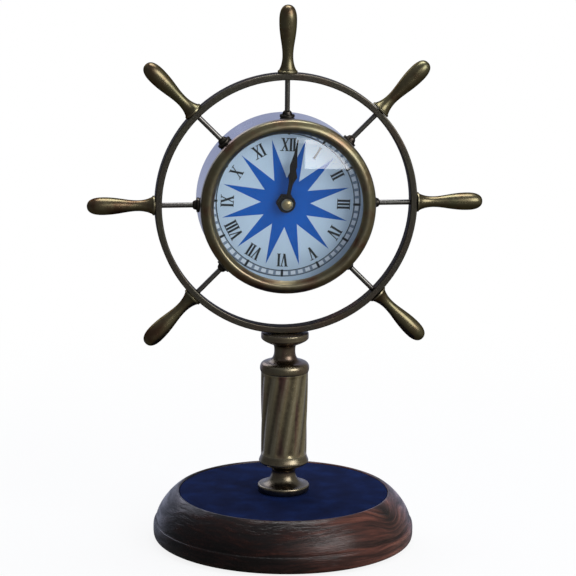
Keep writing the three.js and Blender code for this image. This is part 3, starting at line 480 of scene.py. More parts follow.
# Painted, moulded or plated stock: one colour with a faint cloud and a gloss that is a little
# uneven. The grain is in millimetres, drawn coarser than the real one so that it shows.
def makeStock(name, colour, constants, grain=0.4, depth=0.05, cloud=0.05, gloss=0.05):
    material, tree, shader = startMaterial(name, constants)
    place = inMillimetres(tree)
    noise = addNode(tree, "TexNoise", {"Vector": place, "Scale": 1 / grain, "Detail": 4, "Roughness": 0.6})
    clouds = addNode(tree, "TexNoise", {"Vector": place, "Scale": 1 / 9, "Detail": 3})
    shade = addNode(tree, "MapRange", {
        "Value": clouds, **noiseRange, "To Min": 1 - cloud, "To Max": 1 + cloud})
    tone = addNode(tree, "HueSaturation", {"Value": shade, "Color": srgb(colour)})
    roughness = constants["Roughness"]
    uneven = addNode(tree, "MapRange", {
        "Value": noise, **noiseRange, "To Min": roughness - gloss, "To Max": roughness + gloss})
    bump = addNode(tree, "Bump", {"Height": noise, "Strength": depth, "Distance": 0.0001})
    connect(tree, shader, {"Base Color": tone, "Roughness": uneven, "Normal": bump})
    return material


sheesham = makeSheesham()
navyFelt = makeFelt("navyPressedFelt", deep="#080f2a", mid="#0b173b", light="#112452", sheen="#24376e")
greenFelt = makeFelt("greenBaizePad", deep="#16241c", mid="#1f3227", light="#2a4234", sheen="#6f8f7c")
# Nickel plate over drawn brass, buffed: a cool grey mirror with faint buffing clouds.
buffedNickel = makeStock("nickelPlateBuffed", "#a0a6ba", {"Metallic": 1, "Roughness": 0.13},
                         grain=1.2, gloss=0.04)
# Zinc on steel: pale grey, slightly spangled.
zincSteel = makeStock("zincPlatedSteel", "#9a9da1", {"Metallic": 1, "Roughness": 0.38},
                      grain=0.8, depth=0.12, cloud=0.1, gloss=0.08)
# Brass, machined and left bright under thin lacquer.
brightBrass = makeStock("machinedBrassLacquered", "#cdb98c", {
    "Metallic": 1, "Roughness": 0.4, "Coat Weight": 0.2, "Coat Roughness": 0.1},
    grain=0.6, depth=0.1, cloud=0.08, gloss=0.06)
# Brass, turned and blackened: matt, so that it doesn't show on the dial.
blackenedBrass = makeStock("blackenedBrassTurned", "#1d1b16", {"Metallic": 1, "Roughness": 0.6},
                           grain=0.6, depth=0.1, cloud=0.1)
# Black japan stoved on stamped steel: near black, half matt, with a little orange peel.
japanLacquer = makeStock("blackJapanLacquer", "#060507", {
    "Roughness": 0.45, "IOR": 1.5, "Specular IOR Level": 0.1}, grain=0.8, depth=0.12, cloud=0.1)
# Coated card: flat bluish white with the tooth of the paper.
dialCard = makeStock("coatedDialCard", "#c9dbed", {
    "Roughness": 0.55, "IOR": 1.47, "Specular IOR Level": 0.3}, depth=0.06, cloud=0.025, gloss=0.06)
# Ink, offset printed on the card: matt and even.
ink = {"Roughness": 0.5, "IOR": 1.48, "Specular IOR Level": 0.3}
darkInk = makeStock("blackOffsetInk", "#22282f", ink, cloud=0.1)
greyInk = makeStock("greyOffsetInk", "#8797ac", ink)
whiteInk = makeStock("whiteOffsetInk", "#eaf1fb", ink, cloud=0.02)
blueInk = makeStock("blueOffsetInk", "#005ab8", ink | {"Roughness": 0.6, "Specular IOR Level": 0.1},
                    cloud=0.06)
# Box card: grey, matt, with loose fibres.
greyCard = makeStock("greyBoxCard", "#a4a9b0", {"Roughness": 0.8, "IOR": 1.47}, grain=0.5, depth=0.15)
# ABS, moulded in a spark-eroded tool: black with a fine even texture.
blackAbs = makeStock("blackAbsMoulded", "#151618", {"Roughness": 0.48, "IOR": 1.54},
                     grain=0.35, depth=0.35, gloss=0.06)
# Acetal, moulded: milky white and waxy.
whiteAcetal = makeStock("whiteAcetalMoulded", "#e3e0d6", {"Roughness": 0.42, "IOR": 1.48},
                        grain=0.6, depth=0.08, cloud=0.03)
# Nitrile rubber, pressed: dull black.
blackRubber = makeStock("blackNitrileRubber", "#1b1b1c", {"Roughness": 0.82, "IOR": 1.52},
                        depth=0.2, cloud=0.06, gloss=0.06)
# Solder resist, screened on glass epoxy: deep green with a plastic gloss.
solderResist = makeStock("greenSolderResist", "#2c5a36", {"Roughness": 0.4, "IOR": 1.55},
                         grain=0.8, depth=0.1, cloud=0.08)
# Copper wire under clear enamel, wound: reddish, with the ribs of the wire.
enamelledCopper = makeStock("enamelledCopperWire", "#a5562f", {"Metallic": 1, "Roughness": 0.34},
                            grain=0.3, depth=0.3, cloud=0.08, gloss=0.06)
# Vinyl, shrunk on the battery: smooth and glossy, in two greys.
vinyl = {"constants": {"Roughness": 0.3, "IOR": 1.53}, "grain": 1.5, "depth": 0.08, "cloud": 0.03,
         "gloss": 0.04}
batterySleeve = makeStock("shrunkVinylSleeve", "#5c6570", **vinyl)
sleeveBand = makeStock("shrunkVinylBand", "#23272d", **vinyl)


# Float glass: clear, faintly green and polished, with a trace of dust that dulls it in patches.
def makeFloatGlass():
    material, tree, shader = startMaterial("floatGlassPolished", {
        "Base Color": srgb("#fbfdfd"), "Roughness": 0.0, "IOR": 1.52, "Transmission Weight": 1.0})
    dust = addNode(tree, "TexNoise", {"Vector": inMillimetres(tree), "Scale": 1 / 20, "Detail": 4})
    haze = addNode(tree, "MapRange", {
        "Value": dust, "From Min": 0.45, "From Max": 0.75, "To Min": 0.0, "To Max": 0.035})
    connect(tree, shader, {"Roughness": haze})
    # Shadow and diffuse rays pass, as they do through a thin flat pane.
    clear = addNode(tree, "BsdfTransparent", {"Color": srgb("#fafdfd")})
    path = addNode(tree, "LightPath").outputs
    passing = addNode(tree, "Math", {0: path["Is Shadow Ray"], 1: path["Is Diffuse Ray"]},
                      operation="MAXIMUM")
    both = addNode(tree, "MixShader", {"Fac": passing, 1: shader, 2: clear})
    connect(tree, tree.nodes["Material Output"], {"Surface": both})
    return material


floatGlass = makeFloatGlass()
print("materials made:", len(bpy.data.materials))


# base

base = {"bead": 76.5, "groove": 75, "beadTop": 10, "rim": 62.6, "feltRadius": 61.2, "feltSeat": 61.4,
        "recess": 11, "recessDepth": 12, "bore": 3.15, "sides": 192}
woodBottom = lowest("wooden_base", "z")
woodTop = highest("wooden_base", "z")
feltBottom = lowest("top_felt_disc", "z")
feltTop = highest("top_felt_disc", "z")


def makeBase():
    bead, groove, rim, seat, bore = (base[k] for k in ("bead", "groove", "rim", "feltSeat", "bore"))
    waist = woodBottom + base["beadTop"]  # height of the groove between bead and dome
    ceiling = woodBottom + base["recessDepth"]
    fall = groove - rim
    domeFoot = (groove - 0.02, waist + 1)
    outline = curves(
        (groove - 0.7, woodBottom),
        ((groove + 0.9, woodBottom), (bead, woodBottom + 1), (bead, mix(woodBottom, waist, 0.5)), 10),
        ((bead, waist - 1.2), (groove + 1.1, waist - 0.25), (groove + 0.35, waist - 0.35), 10),
        ((groove, waist - 0.1), (groove, waist + 0.4), domeFoot, 6),
        ((domeFoot[0] - 0.15 * fall, mix(waist, woodTop, 0.57)),
         (rim + 0.1 * fall, woodTop), (rim, woodTop), 36),
        ((rim - 0.7, woodTop), (seat, woodTop - 0.35), (seat, woodTop - 0.9), 6))
    outline += [(seat, feltBottom - gap), (bore, feltBottom - gap), (bore, ceiling),
                (base["recess"], ceiling), (base["recess"], woodBottom)]
    wear(makeTurned("turnedBase", outline, upright, base["sides"], step=1.2),
         sheesham, "polished_wood", "wooden_base")

    radius = base["feltRadius"]
    top = rounded([(bore, feltTop), (radius, feltTop, 0.45), (radius, feltBottom), (bore, feltBottom)])
    wear(makeTurned("navyFeltTop", top, upright, base["sides"], step=2.5),
         navyFelt, "blue_felt", "top_felt_disc")

    radius = highest("bottom_felt_pad", "x")
    padTop = highest("bottom_felt_pad", "z")
    pad = rounded([(0, 0), (radius, 0, 0.3), (radius, padTop, 0.3), (0, padTop)], closed=False)
    wear(makeTurned("baizePad", pad, upright, base["sides"], step=3, closed=False),
         greenFelt, "underside_felt", "bottom_felt_pad")


makeBase()
print("base made")


# column: pairs are a radius and the height at which it lies

foot = {"sole": 13.4, "rim": (15.2, 3.2), "edge": 1.3, "neck": (6.9, 12.4), "flare": 15.2,
        "cup": (14.55, 19.2), "top": 13.35, "height": 22.7, "bore": 3.15}
flutes = {"count": 12, "depth": 0.7, "start": -7, "twist": 37,  # start and twist in degrees
          "low": 13.35, "high": 13.8, "bore": 10.55, "run": 2.2}
cap = {"low": 13.8, "bead": 14.4, "beadHeight": 4.6, "shoulder": (10.8, 6.1), "neck": (6.15, 12.8),
       "throat": (6.9, 16.2), "saucer": (13.9, 20.4), "height": 23.4}
columnBottom = lowest("fluted_column", "z")
columnHeight = highest("fluted_column", "z") - columnBottom


def makeFoot():
    rim, neck, cup, top, height = (foot[k] for k in ("rim", "neck", "cup", "top", "height"))
    edge = (rim[0] - 0.75, rim[1] + foot["edge"])
    flare = (neck[0], foot["flare"])
    cupSide = (mix(neck[0], cup[0], 0.82), mix(flare[1], cup[1], 0.45))
    cupTop = (cup[0], cup[1] - 0.5)
    outline = [(foot["bore"], 0)] + curves(
        (foot["sole"], 0),
        ((rim[0] - 0.4, 0.1), (rim[0], 1.4), rim, 8),
        ((rim[0] + 0.02, rim[1] + 0.8), (edge[0] + 0.45, edge[1]), edge, 6),
        ((mix(rim[0], neck[0], 0.66), edge[1] + 0.35), between(edge, neck, 1, 0.45), neck, 18),
        (between(neck, flare, 0, 0.9), between(flare, cup, 0.42, 0), cupSide, 14),
        ((cup[0] - 0.2, cupSide[1] + 0.9), (cup[0], cupTop[1] - 0.8), cupTop, 8),
        ((cup[0], cupTop[1] + 0.9), (top + 0.45, height - 1.9), (top + 0.25, height - 1.2), 8))
    outline += [(top + 0.05, height - 0.5), (top, height), (foot["bore"], height)]
    wear(makeTurned("columnFoot", outline, upwards(lowest("column_foot", "z")), sides=112, step=0.5),
         columnBrass, "antique_brass", "column_foot")


# The flutes climb round the tube and die out just short of its ends. The ridges between them
# are the most rubbed.
def fluteAt(radius, height, angle, relief):
    if radius < flutes["bore"] + 0.5 or not 0.01 < height < columnHeight - 0.01:
        return radius, relief
    turn = math.radians(flutes["start"] + flutes["twist"] * height / columnHeight)
    wave = 0.5 - 0.5 * math.cos(flutes["count"] * (angle - turn))
    fade = min(1, height / flutes["run"], (columnHeight - height) / flutes["run"])
    fade = fade * fade * (3 - 2 * fade)
    groove = wave ** 1.2 * fade
    ridge = (1 - wave) ** 4 * fade
    return radius - flutes["depth"] * groove, 0.62 - 0.5 * groove + 0.24 * ridge


def makeColumn():
    outline = [(flutes["bore"], 0), (flutes["low"], 0), (flutes["high"], columnHeight),
               (flutes["bore"], columnHeight)]
    wear(makeTurned("flutedColumn", outline, upwards(columnBottom), sides=288, step=0.7, shape=fluteAt),
         flutedBrass, "antique_brass", "fluted_column")


def makeCap():
    shoulder, neck, throat, rim = (cap[k] for k in ("shoulder", "neck", "throat", "saucer"))
    low = (cap["low"], 0)
    top = (cap["low"], cap["beadHeight"])
    swell = ((4 * cap["bead"] - low[0]) / 3, 0)  # handles this far out make the bead as wide as named
    bore = foot["bore"] - 0.5
    outline = [(foot["bore"], 0)] + curves(
        low,
        (between(swell, top, 0, 0.25), between(swell, top, 0, 0.75), top, 16),
        ((top[0] - 0.4, top[1] + 0.9), (shoulder[0] + 0.9, shoulder[1] - 0.1), shoulder, 6),
        (between(shoulder, neck, 0.75, 0.1), between(shoulder, neck, 1, 0.45), neck, 18),
        (between(neck, throat, 0, 0.6), (throat[0] - 0.5, throat[1] - 0.4), throat, 8),
        (between(throat, rim, 0.3, 0.2), between(throat, rim, 1, 0.67), rim, 16))
    outline += rounded([rim, (rim[0], cap["height"], 0.6), (bore, cap["height"])], closed=False)[1:]
    outline += [(bore, 0)]
    wear(makeTurned("columnCap", outline, upwards(columnBottom + columnHeight + gap), sides=112, step=0.5),
         columnBrass, "antique_brass", "column_cap")


makeFoot()
makeColumn()
makeCap()
print("column made")


# wheel

wheel = {"outer": 76, "inner": 72.1, "depth": 8.5, "round": 0.7,
         "angles": (0, 45, 90, 135, 180, 225, 315)}  # from the right, anticlockwise; the column is at 270
handle = {"foot": 5.7, "lip": 0.7, "neck": (3.12, 9.6), "belly": (5.1, 29.8), "length": 38.8,
          "start": 76.05}
collar = {"flange": 4.3, "thickness": 1.6, "boss": 2.5, "bossHeight": 2.4, "start": 50.35}
rod = {"radius": 1.5, "inHandle": 8}
ringScrew = {"head": 3.65, "shank": 2, "cone": 2, "length": 5,
             "slot": {"length": 9, "width": 0.9, "depth": 1.0}}


def makeRing():
    half = wheel["depth"] / 2
    outline = rounded([(wheel[side], height, wheel["round"]) for side, height in (
        ("inner", -half), ("outer", -half), ("outer", half), ("inner", half))])
    wear(makeTurned("wheelRing", outline, throughClock(), sides=256, step=0.7),
         darkBrass, "dark_brass", "wheel_ring")


def makeHandleOutline():
    lip, neck, belly = (handle["foot"], handle["lip"]), handle["neck"], handle["belly"]
    tip = (0, handle["length"])
    outline = rounded([(0, 0), (lip[0], 0, 0.2), (lip[0], lip[1] + 0.35, 0.3),
                       (lip[0] - 0.6, lip[1] + 0.6)], closed=False)
    return outline[:-1] + curves(
        outline[-1],
        (between(lip, neck, 0.65, 0.26), between(lip, neck, 1, 0.6), neck, 18),
        (between(neck, belly, 0, 0.32), between(neck, belly, 1, 0.56), belly, 24),
        (between(belly, tip, 0, 0.69), between(belly, tip, 0.37, 1), tip, 20))


def makeCollarOutline():
    flange, thickness, boss = collar["flange"], collar["thickness"], collar["boss"]
    top = thickness + collar["bossHeight"]
    return rounded([(rod["radius"], 0), (flange, 0, 0.3), (flange, thickness, 0.45),
                    (boss + 0.5, thickness, 0.4), (boss - 0.1, top - 0.7, 0.7), (rod["radius"], top)])


def makeSpokes():
    handleOutline = makeHandleOutline()
    collarOutline = makeCollarOutline()
    reach = wheel["inner"] - collar["start"] + rod["inHandle"]
    rodOutline = [(0, 0), (rod["radius"], 0), (rod["radius"], reach), (0, reach)]
    for number, degrees in enumerate(wheel["angles"], start=1):
        onRing = alongSpoke(degrees, handle["start"])
        onDrum = alongSpoke(degrees, collar["start"])
        wear(makeTurned(f"handle{number}", handleOutline, onRing, sides=48, step=0.7, closed=False),
             handleBrass, "antique_brass", f"handle_{number}")
        wear(makeTurned(f"collar{number}", collarOutline, onDrum, sides=40, step=0.4),
             collarBrass, "dark_brass", f"spoke_collar_{number}")
        wear(makeTurned(f"rod{number}", rodOutline, onDrum, sides=28, step=1.5, closed=False),
             rodBrass, "dark_brass", f"spoke_rod_{number}")


def makeRingScrew():
    place = upwards(highest("ring_screw", "z"))
    head, shank, length = ringScrew["head"], ringScrew["shank"], ringScrew["length"]
    outline = rounded([(0, -length), (shank, -length), (shank, -ringScrew["cone"]), (head, -0.25, 0.15),
                       (head - 0.1, 0, 0.1), (0, 0)], closed=False)
    piece = makeTurned("ringScrew", outline, place, sides=48, step=0.5, closed=False)
    cutSlot(piece, place, 0, ringScrew["slot"])
    wear(piece, darkBrass, "dark_brass", "ring_screw")


makeRing()
makeSpokes()
makeRingScrew()
print("wheel made")


# clock case

drum = {"radius": 50.3, "wall": 1.2, "flange": 4.6, "flangeThickness": 1.8, "ledge": 3.5,
        "ledgeThickness": 1.5, "spacerWall": 0.7, "sides": 224}
bezel = {"radius": 50.75, "depth": 7, "shoulder": 4.6, "opening": 43, "lip": 1.5, "glassSink": 3.7,
         "spigot": 3.5, "spigotWall": 1.8, "spigotPlay": 0.2}
backPlate = {"radius": 50, "window": 53, "windowCorner": 2.6, "screwCircle": 46.8, "screwHole": 1.15}
plateScrew = {"radius": 2.2, "height": 1.3, "shank": 1, "length": 4,
              "slot": {"length": 6, "width": 0.55, "depth": 0.65}}
dialFront = lowest("dial", "y")
dialRear = highest("dial", "y")
plateFront = lowest("back_plate", "y")
plateRear = highest("back_plate", "y")
drumInner = drum["radius"] - drum["wall"]


def makeDrum():
    front, rear = lowest("clock_drum", "y"), highest("clock_drum", "y")
    flangeFront = rear - drum["flangeThickness"]
    ledgeFront = dialRear + gap
    ledgeRear = ledgeFront + drum["ledgeThickness"]
    ledge = drumInner - drum["ledge"]
    flange = drumInner - drum["flange"]
    outline = rounded([
        (drum["radius"], front, 0.25), (drum["radius"], rear, 0.7), (flange, rear), (flange, flangeFront),
        (drumInner, flangeFront), (drumInner, ledgeRear), (ledge, ledgeRear), (ledge, ledgeFront),
        (drumInner, ledgeFront), (drumInner, front)])
    wear(makeTurned("caseDrum", outline, throughClock(), drum["sides"], step=1.6),
         buffedNickel, "polished_nickel", "clock_drum")


def makeBezel():
    radius, depth, sink, opening = (bezel[k] for k in ("radius", "depth", "glassSink", "opening"))
    spigot = drumInner - bezel["spigotPlay"]
    spigotEnd = depth + bezel["spigot"]
    rebate = spigot - bezel["spigotWall"]
    rim = opening + bezel["lip"]
    width = radius - rim
    shoulder = (radius, bezel["shoulder"])
    crown = (mix(rim, radius, 0.74), 0.34 * shoulder[1])
    outline = rounded([(opening, sink), (opening, sink - 0.5, 0.2), (rim + 0.35, 0.95)], closed=False)
    outline += curves(
        outline[-1],
        ((rim + 0.14 * width, 0.3), (rim + 0.36 * width, -0.4), crown, 20),
        ((mix(crown[0], radius, 0.75), crown[1] + 0.75), (radius, 0.74 * shoulder[1]), shoulder, 12))[1:]
    outline += rounded([shoulder, (radius, depth, 0.35), (radius - 1, depth)], closed=False)[1:]
    outline += [(spigot, depth), (spigot, spigotEnd), (rebate, spigotEnd), (rebate, sink)]
    wear(makeTurned("turnedBezel", outline, throughClock(y=lowest("bezel", "y")), drum["sides"], step=0.5),
         antiqueBrass, "antique_brass", "bezel")


def makeGlass():
    radius, front, rear = highest("glass", "x"), lowest("glass", "y"), highest("glass", "y")
    outline = rounded([(0, front), (radius, front, 0.25), (radius, rear, 0.25), (0, rear)], closed=False)
    wear(makeTurned("frontGlass", outline, throughClock(), drum["sides"], step=6, closed=False),
         floatGlass, "clear_glass", "glass")
    inner, spacerRear = radius - drum["spacerWall"], highest("spacer_ring", "y")
    ring = [(inner, rear + gap), (radius, rear + gap), (radius, spacerRear), (inner, spacerRear)]
    wear(makeTurned("spacerRing", ring, throughClock(), drum["sides"], step=2),
         greyCard, "grey_card", "spacer_ring")


def makeBackPlate():
    screws = [onDial(backPlate["screwCircle"], 45 + 90 * k) for k in range(4)]
    half, corner = backPlate["window"] / 2, backPlate["windowCorner"]
    window = rounded([(x * half, z * half, corner) for x, z in ((1, -1), (1, 1), (-1, 1), (-1, -1))],
                     steps=8)
    holes = [circle(backPlate["screwHole"], 24, x, z) for x, z in screws]
    plate = makePlate("backPlate", [circle(backPlate["radius"], 192), window] + holes, plateFront,
                      plateRear - plateFront, bevel=0.25)
    wear(plate, antiqueBrass, "antique_brass", "back_plate")

    radius, height, shank, length = (plateScrew[k] for k in ("radius", "height", "shank", "length"))
    outline = [(0, -length), (shank, -length), (shank, 0), (radius - 0.15, 0), (radius, 0.15)] + curves(
        (radius, 0.35 * height),
        ((radius - 0.05, 0.75 * height), (0.55 * radius, height), (0, height), 10))
    for number, (x, z) in enumerate(screws):
        place = throughClock(x, plateRear + gap, z)
        piece = makeTurned(f"plateScrew{number + 1}", outline, place, sides=32, step=0.5, closed=False)
        driven = Matrix.Rotation(math.radians(17 + 53 * number), 4, "Z")  # each stopped at its own angle
        cutSlot(piece, place @ driven, height, plateScrew["slot"])
        node = f"back_plate_screw_{(4 - number) % 4 + 1}"  # the nodes are numbered anticlockwise
        wear(piece, brightBrass, "bright_brass", node)


makeDrum()
makeBezel()
makeGlass()
makeBackPlate()
print("case made")


# dial and its print

dial = {"hole": 4.15, "radius": 48.9, "turn": 2.4, "starPoints": 12, "starInner": 14.4, "starOuter": 37.9,
        "numeralMiddle": 33.9, "numeralHeight": 7.6, "ink": 0.03, "lifts": (0.01, 0.05, 0.09), "sides": 192}
track = {"inner": 39.8, "outer": 43.7, "blockInner": 40.6, "blockOuter": 42.75, "blockHalf": 1.9,
         "innerLine": 40.2, "outerLine": (43.2, 43.5), "tickInner": 39.5, "tickHalf": 0.85}
letter = {"stem": 1.3, "hair": 0.6, "serif": 0.4, "wing": 0.45, "gap": 0.68,
          "widths": {"I": 1.3, "V": 3.8, "X": 4.1}}
numerals = ("XII", "I", "II", "III", "IV", "V", "VI", "VII", "VIII", "IX", "X", "XI")


def bar(a, b, half):  # a straight stroke with level ends, between two heights
    return [(a[0] - half, a[1]), (a[0] + half, a[1]), (b[0] + half, b[1]), (b[0] - half, b[1])]


# Strokes and serifs of one letter from its left edge, each a loop of corners.
def glyphStrokes(glyph, left):
    top, serif = dial["numeralHeight"], letter["serif"]
    right = left + letter["widths"][glyph]
    wide, thin = letter["stem"] / 2, letter["hair"] / 2
    topLeft, topRight = (left + wide, top), (right - thin, top)
    point = (mix(left, right, 0.54), 0)  # where a V's strokes meet, without a serif
    lines = {
        "I": [((left + wide, 0), topLeft, wide)],
        "V": [(topLeft, point, wide), (topRight, point, thin)],
        "X": [(topLeft, (right - wide, 0), wide), (topRight, (left + thin, 0), thin)]}[glyph]
    strokes = [bar(start, end, half) for start, end, half in lines]
    for x, height in [end for line in lines for end in line[:2] if end != point]:
        low = max(0, height - serif)
        strokes.append(bar((x, low), (x, low + serif), letter["wing"] + wide))
    return strokes


# Ink on the dial: thin raised shapes, each loop in (x, z) about the dial's centre.
def makeInk(name, loops, lift, material):
    bm = bmesh.new()
    for loop in loops:
        face = bm.faces.new([bm.verts.new((x, dialFront - lift, z)) for x, z in loop])
        extrude(bm, [face], -dial["ink"])
    wear(finishMesh(name, bm, onWheel), material, "printed_dial")


def makeInkRing(name, inner, outer, lift, material):
    rear = dialFront - lift
    front = rear - dial["ink"]
    outline = [(inner, front), (outer, front), (outer, rear), (inner, rear)]
    wear(makeTurned(name, outline, throughClock(), dial["sides"], step=4), material, "printed_dial")


def sector(inner, outer, degrees, half, steps=3):  # a stretch of a ring, clockwise from twelve
    angles = [dial["turn"] + degrees + half * (2 * k / steps - 1) for k in range(steps + 1)]
    return [onDial(outer, angle) for angle in angles] + [onDial(inner, angle) for angle in reversed(angles)]


def makeNumerals(lift):
    strokes = []
    bottom = dial["numeralMiddle"] - dial["numeralHeight"] / 2
    for hour, word in enumerate(numerals):
        left = -(sum(letter["widths"][glyph] for glyph in word) + letter["gap"] * (len(word) - 1)) / 2
        turn = Matrix.Rotation(math.radians(-30 * hour - dial["turn"]), 2)
        for glyph in word:
            for stroke in glyphStrokes(glyph, left):
                strokes.append([turn @ Vector((x, z + bottom)) for x, z in stroke])
            left += letter["widths"][glyph] + letter["gap"]
    makeInk("numeralPrint", strokes, lift, darkInk)


def makeDial():
    hole, radius = dial["hole"], dial["radius"]
    outline = [(hole, dialFront), (radius, dialFront), (radius, dialRear), (hole, dialRear)]
    wear(makeTurned("dialDisc", outline, throughClock(), dial["sides"], step=4),
         dialCard, "printed_dial", "dial")

    under, over, top = dial["lifts"]  # how far each layer of ink lies off the card
    count, reaches = 2 * dial["starPoints"], (dial["starInner"], dial["starOuter"])
    star = [onDial(reaches[k % 2], k * 360 / count + dial["turn"]) for k in range(count)]
    starFront = dialFront - dial["ink"] - under
    wear(makePlate("starPrint", [star, circle(hole + 0.3, 48)], starFront, dial["ink"]),
         blueInk, "printed_dial")
    makeNumerals(over)

    inner, outer = track["inner"], track["outer"]
    makeInkRing("trackBand", inner, outer, under, greyInk)
    makeInk("trackBlocks", [sector(track["blockInner"], track["blockOuter"], 6 * k + 3, track["blockHalf"])
                            for k in range(60)], over, whiteInk)
    makeInkRing("trackInnerLine", inner, track["innerLine"], over, darkInk)
    makeInkRing("trackOuterLine", *track["outerLine"], over, darkInk)
    makeInk("trackTicks", [sector(track["tickInner"], outer, 30 * k, track["tickHalf"]) for k in range(12)],
            top, darkInk)


makeDial()
print("dial made")


# hands

hands = {"stem": 2.2, "tip": 0.8, "thickness": 0.5,
         "minute": {"length": 38, "width": 4.4, "widest": 22.5, "hub": 4.0, "bore": 1.55, "angle": 9.3},
         "hour": {"length": 25.5, "width": 5.6, "widest": 16.2, "hub": 5.2, "bore": 2.55, "angle": 12}}
capNut = {"radius": 3.35, "side": 1.1, "height": 3.3}


def handLoops(hand):
    length, width, widest, hub = (hand[k] for k in ("length", "width", "widest", "hub"))
    stem, tip = hands["stem"] / 2, hands["tip"]
    leaf = mix(hub, widest, 0.5)  # where the stem starts to widen
    start = math.degrees(math.asin(stem / hub))
    hubArc = [onDial(hub, mix(360 - start, start, k / 40)) for k in range(41)]
    side = curves(
        (stem, leaf),
        ((stem, mix(leaf, widest, 0.4)), (0.42 * width, mix(leaf, widest, 0.75)), (width / 2, widest), 8),
        ((0.36 * width, mix(widest, length, 0.25)), (0.6 * tip, mix(widest, length, 0.5)),
         (tip / 2, length), 10))
    turn = Matrix.Rotation(math.radians(-hand["angle"]), 2)
    loops = (hubArc + side + [(-x, z) for x, z in reversed(side)], circle(hand["bore"], 32))
    return [[turn @ Vector(point) for point in loop] for loop in loops]


def makeHands():
    for name in ("minute", "hour"):
        node = f"{name}_hand"
        piece = makePlate(f"{name}Hand", handLoops(hands[name]), lowest(node, "y"), hands["thickness"],
                          bevel=0.12)
        wear(piece, japanLacquer, "black_lacquer", node, body=f"{name}_work")
    rear, radius = highest("hand_cap_nut", "y"), capNut["radius"]
    dome = rear - capNut["height"]
    side = rear - capNut["side"]
    outline = curves(
        (0, dome),
        ((0.6 * radius, dome), (radius - 0.05, mix(side, dome, 0.6)), (radius - 0.05, side), 12))
    outline += rounded([outline[-1], (radius, side + 0.1), (radius, rear, 0.2), (0, rear)], closed=False)[1:]
    wear(makeTurned("capNut", outline, throughClock(), sides=56, step=0.4, closed=False),
         brightBrass, "bright_brass", "hand_cap_nut", body="minute_work")


makeHands()
print("hands made")


# rear pieces

knob = {"radius": 5.5, "height": 2.6, "ribs": 24, "ribDepth": 0.35, "shaft": 1.5, "shaftLength": 8}
battery = {"radius": 7.1, "length": 49.2, "button": 2.7, "buttonLength": 1.0, "end": 5.65, "band": 9}


def makeKnob():
    radius, shaft = knob["radius"], knob["shaft"]
    rear = highest("setting_knob", "y")
    front = rear - knob["height"]
    shaftEnd = front - knob["shaftLength"]

    def ribbed(reach, height, angle, relief):
        side = reach > radius - 0.4 and height > front + 0.1
        wave = 0.5 + 0.5 * math.cos(knob["ribs"] * angle)
        return (reach - knob["ribDepth"] * wave ** 2 if side else reach), relief

    outline = rounded([(0, shaftEnd), (shaft, shaftEnd), (shaft, front), (radius, front, 0.2),
                       (radius, rear, 0.45), (radius - 1.3, rear, 0.2), (radius - 1.7, rear - 0.5, 0.2),
                       (0, rear - 0.5)], closed=False)
    place = throughClock(z=middle("setting_knob", "z") - wheelCentre)
    wear(makeTurned("timeSettingKnob", outline, place, sides=192, step=0.5, closed=False, shape=ribbed),
         blackAbs, "black_plastic", "setting_knob", body="setting_knob_work")


def makeBattery():
    start, y, z = lowest("battery", "x"), middle("battery", "y"), middle("battery", "z")
    place = upright @ Matrix.Translation((start, y, z)) @ Matrix.Rotation(math.pi / 2, 4, "Y")
    radius, length, button = battery["radius"], battery["length"], battery["button"]
    tip = length + battery["buttonLength"]
    outline = rounded([(0, 0.25), (radius - 1.6, 0.25), (radius - 1.5, 0), (radius, 0, 0.6),
                       (radius, length, 0.7), (radius - 1.5, length), (radius - 1.6, length - 0.25),
                       (button + 0.4, length - 0.25, 0.2), (button, length + 0.2, 0.2), (button, tip, 0.3),
                       (0, tip)], closed=False)
    piece = makeTurned("batteryCell", outline, place, sides=72, step=1.0, closed=False)
    wear(piece, batterySleeve, "battery_jacket", "battery", body="battery_cell")
    piece.data.materials.append(sleeveBand)
    piece.data.materials.append(zincSteel)
    for face in piece.data.polygons:
        centre = face.center * 1000
        if math.hypot(centre.y - y, centre.z - z) < battery["end"]:
            face.material_index = 2
        elif centre.x - start > length - battery["band"]:
            face.material_index = 1


makeKnob()
makeBattery()
print("rear pieces made")


# finishes of the solids that stay as they are

keptFinishes = {
    "base_washer": zincSteel, "base_nut": zincSteel, "tie_rod": zincSteel, "minute_arbor": zincSteel,
    "battery_contact_positive": zincSteel, "battery_contact_negative": zincSteel,
    "threaded_bush": brightBrass, "dial_nut": blackenedBrass, "dial_washer": blackRubber,
    "minute_wheel": whiteAcetal, "hour_wheel": whiteAcetal, "drive_unit": whiteAcetal,
    "movement_cover": blackAbs, "movement_case": blackAbs, "circuit_board": solderResist,
    "coil": enamelledCopper}
for node, material in keptFinishes.items():
    dress(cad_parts[node], material)
print("kept solids dressed:", len(keptFinishes))


# floor, light and camera, in metres

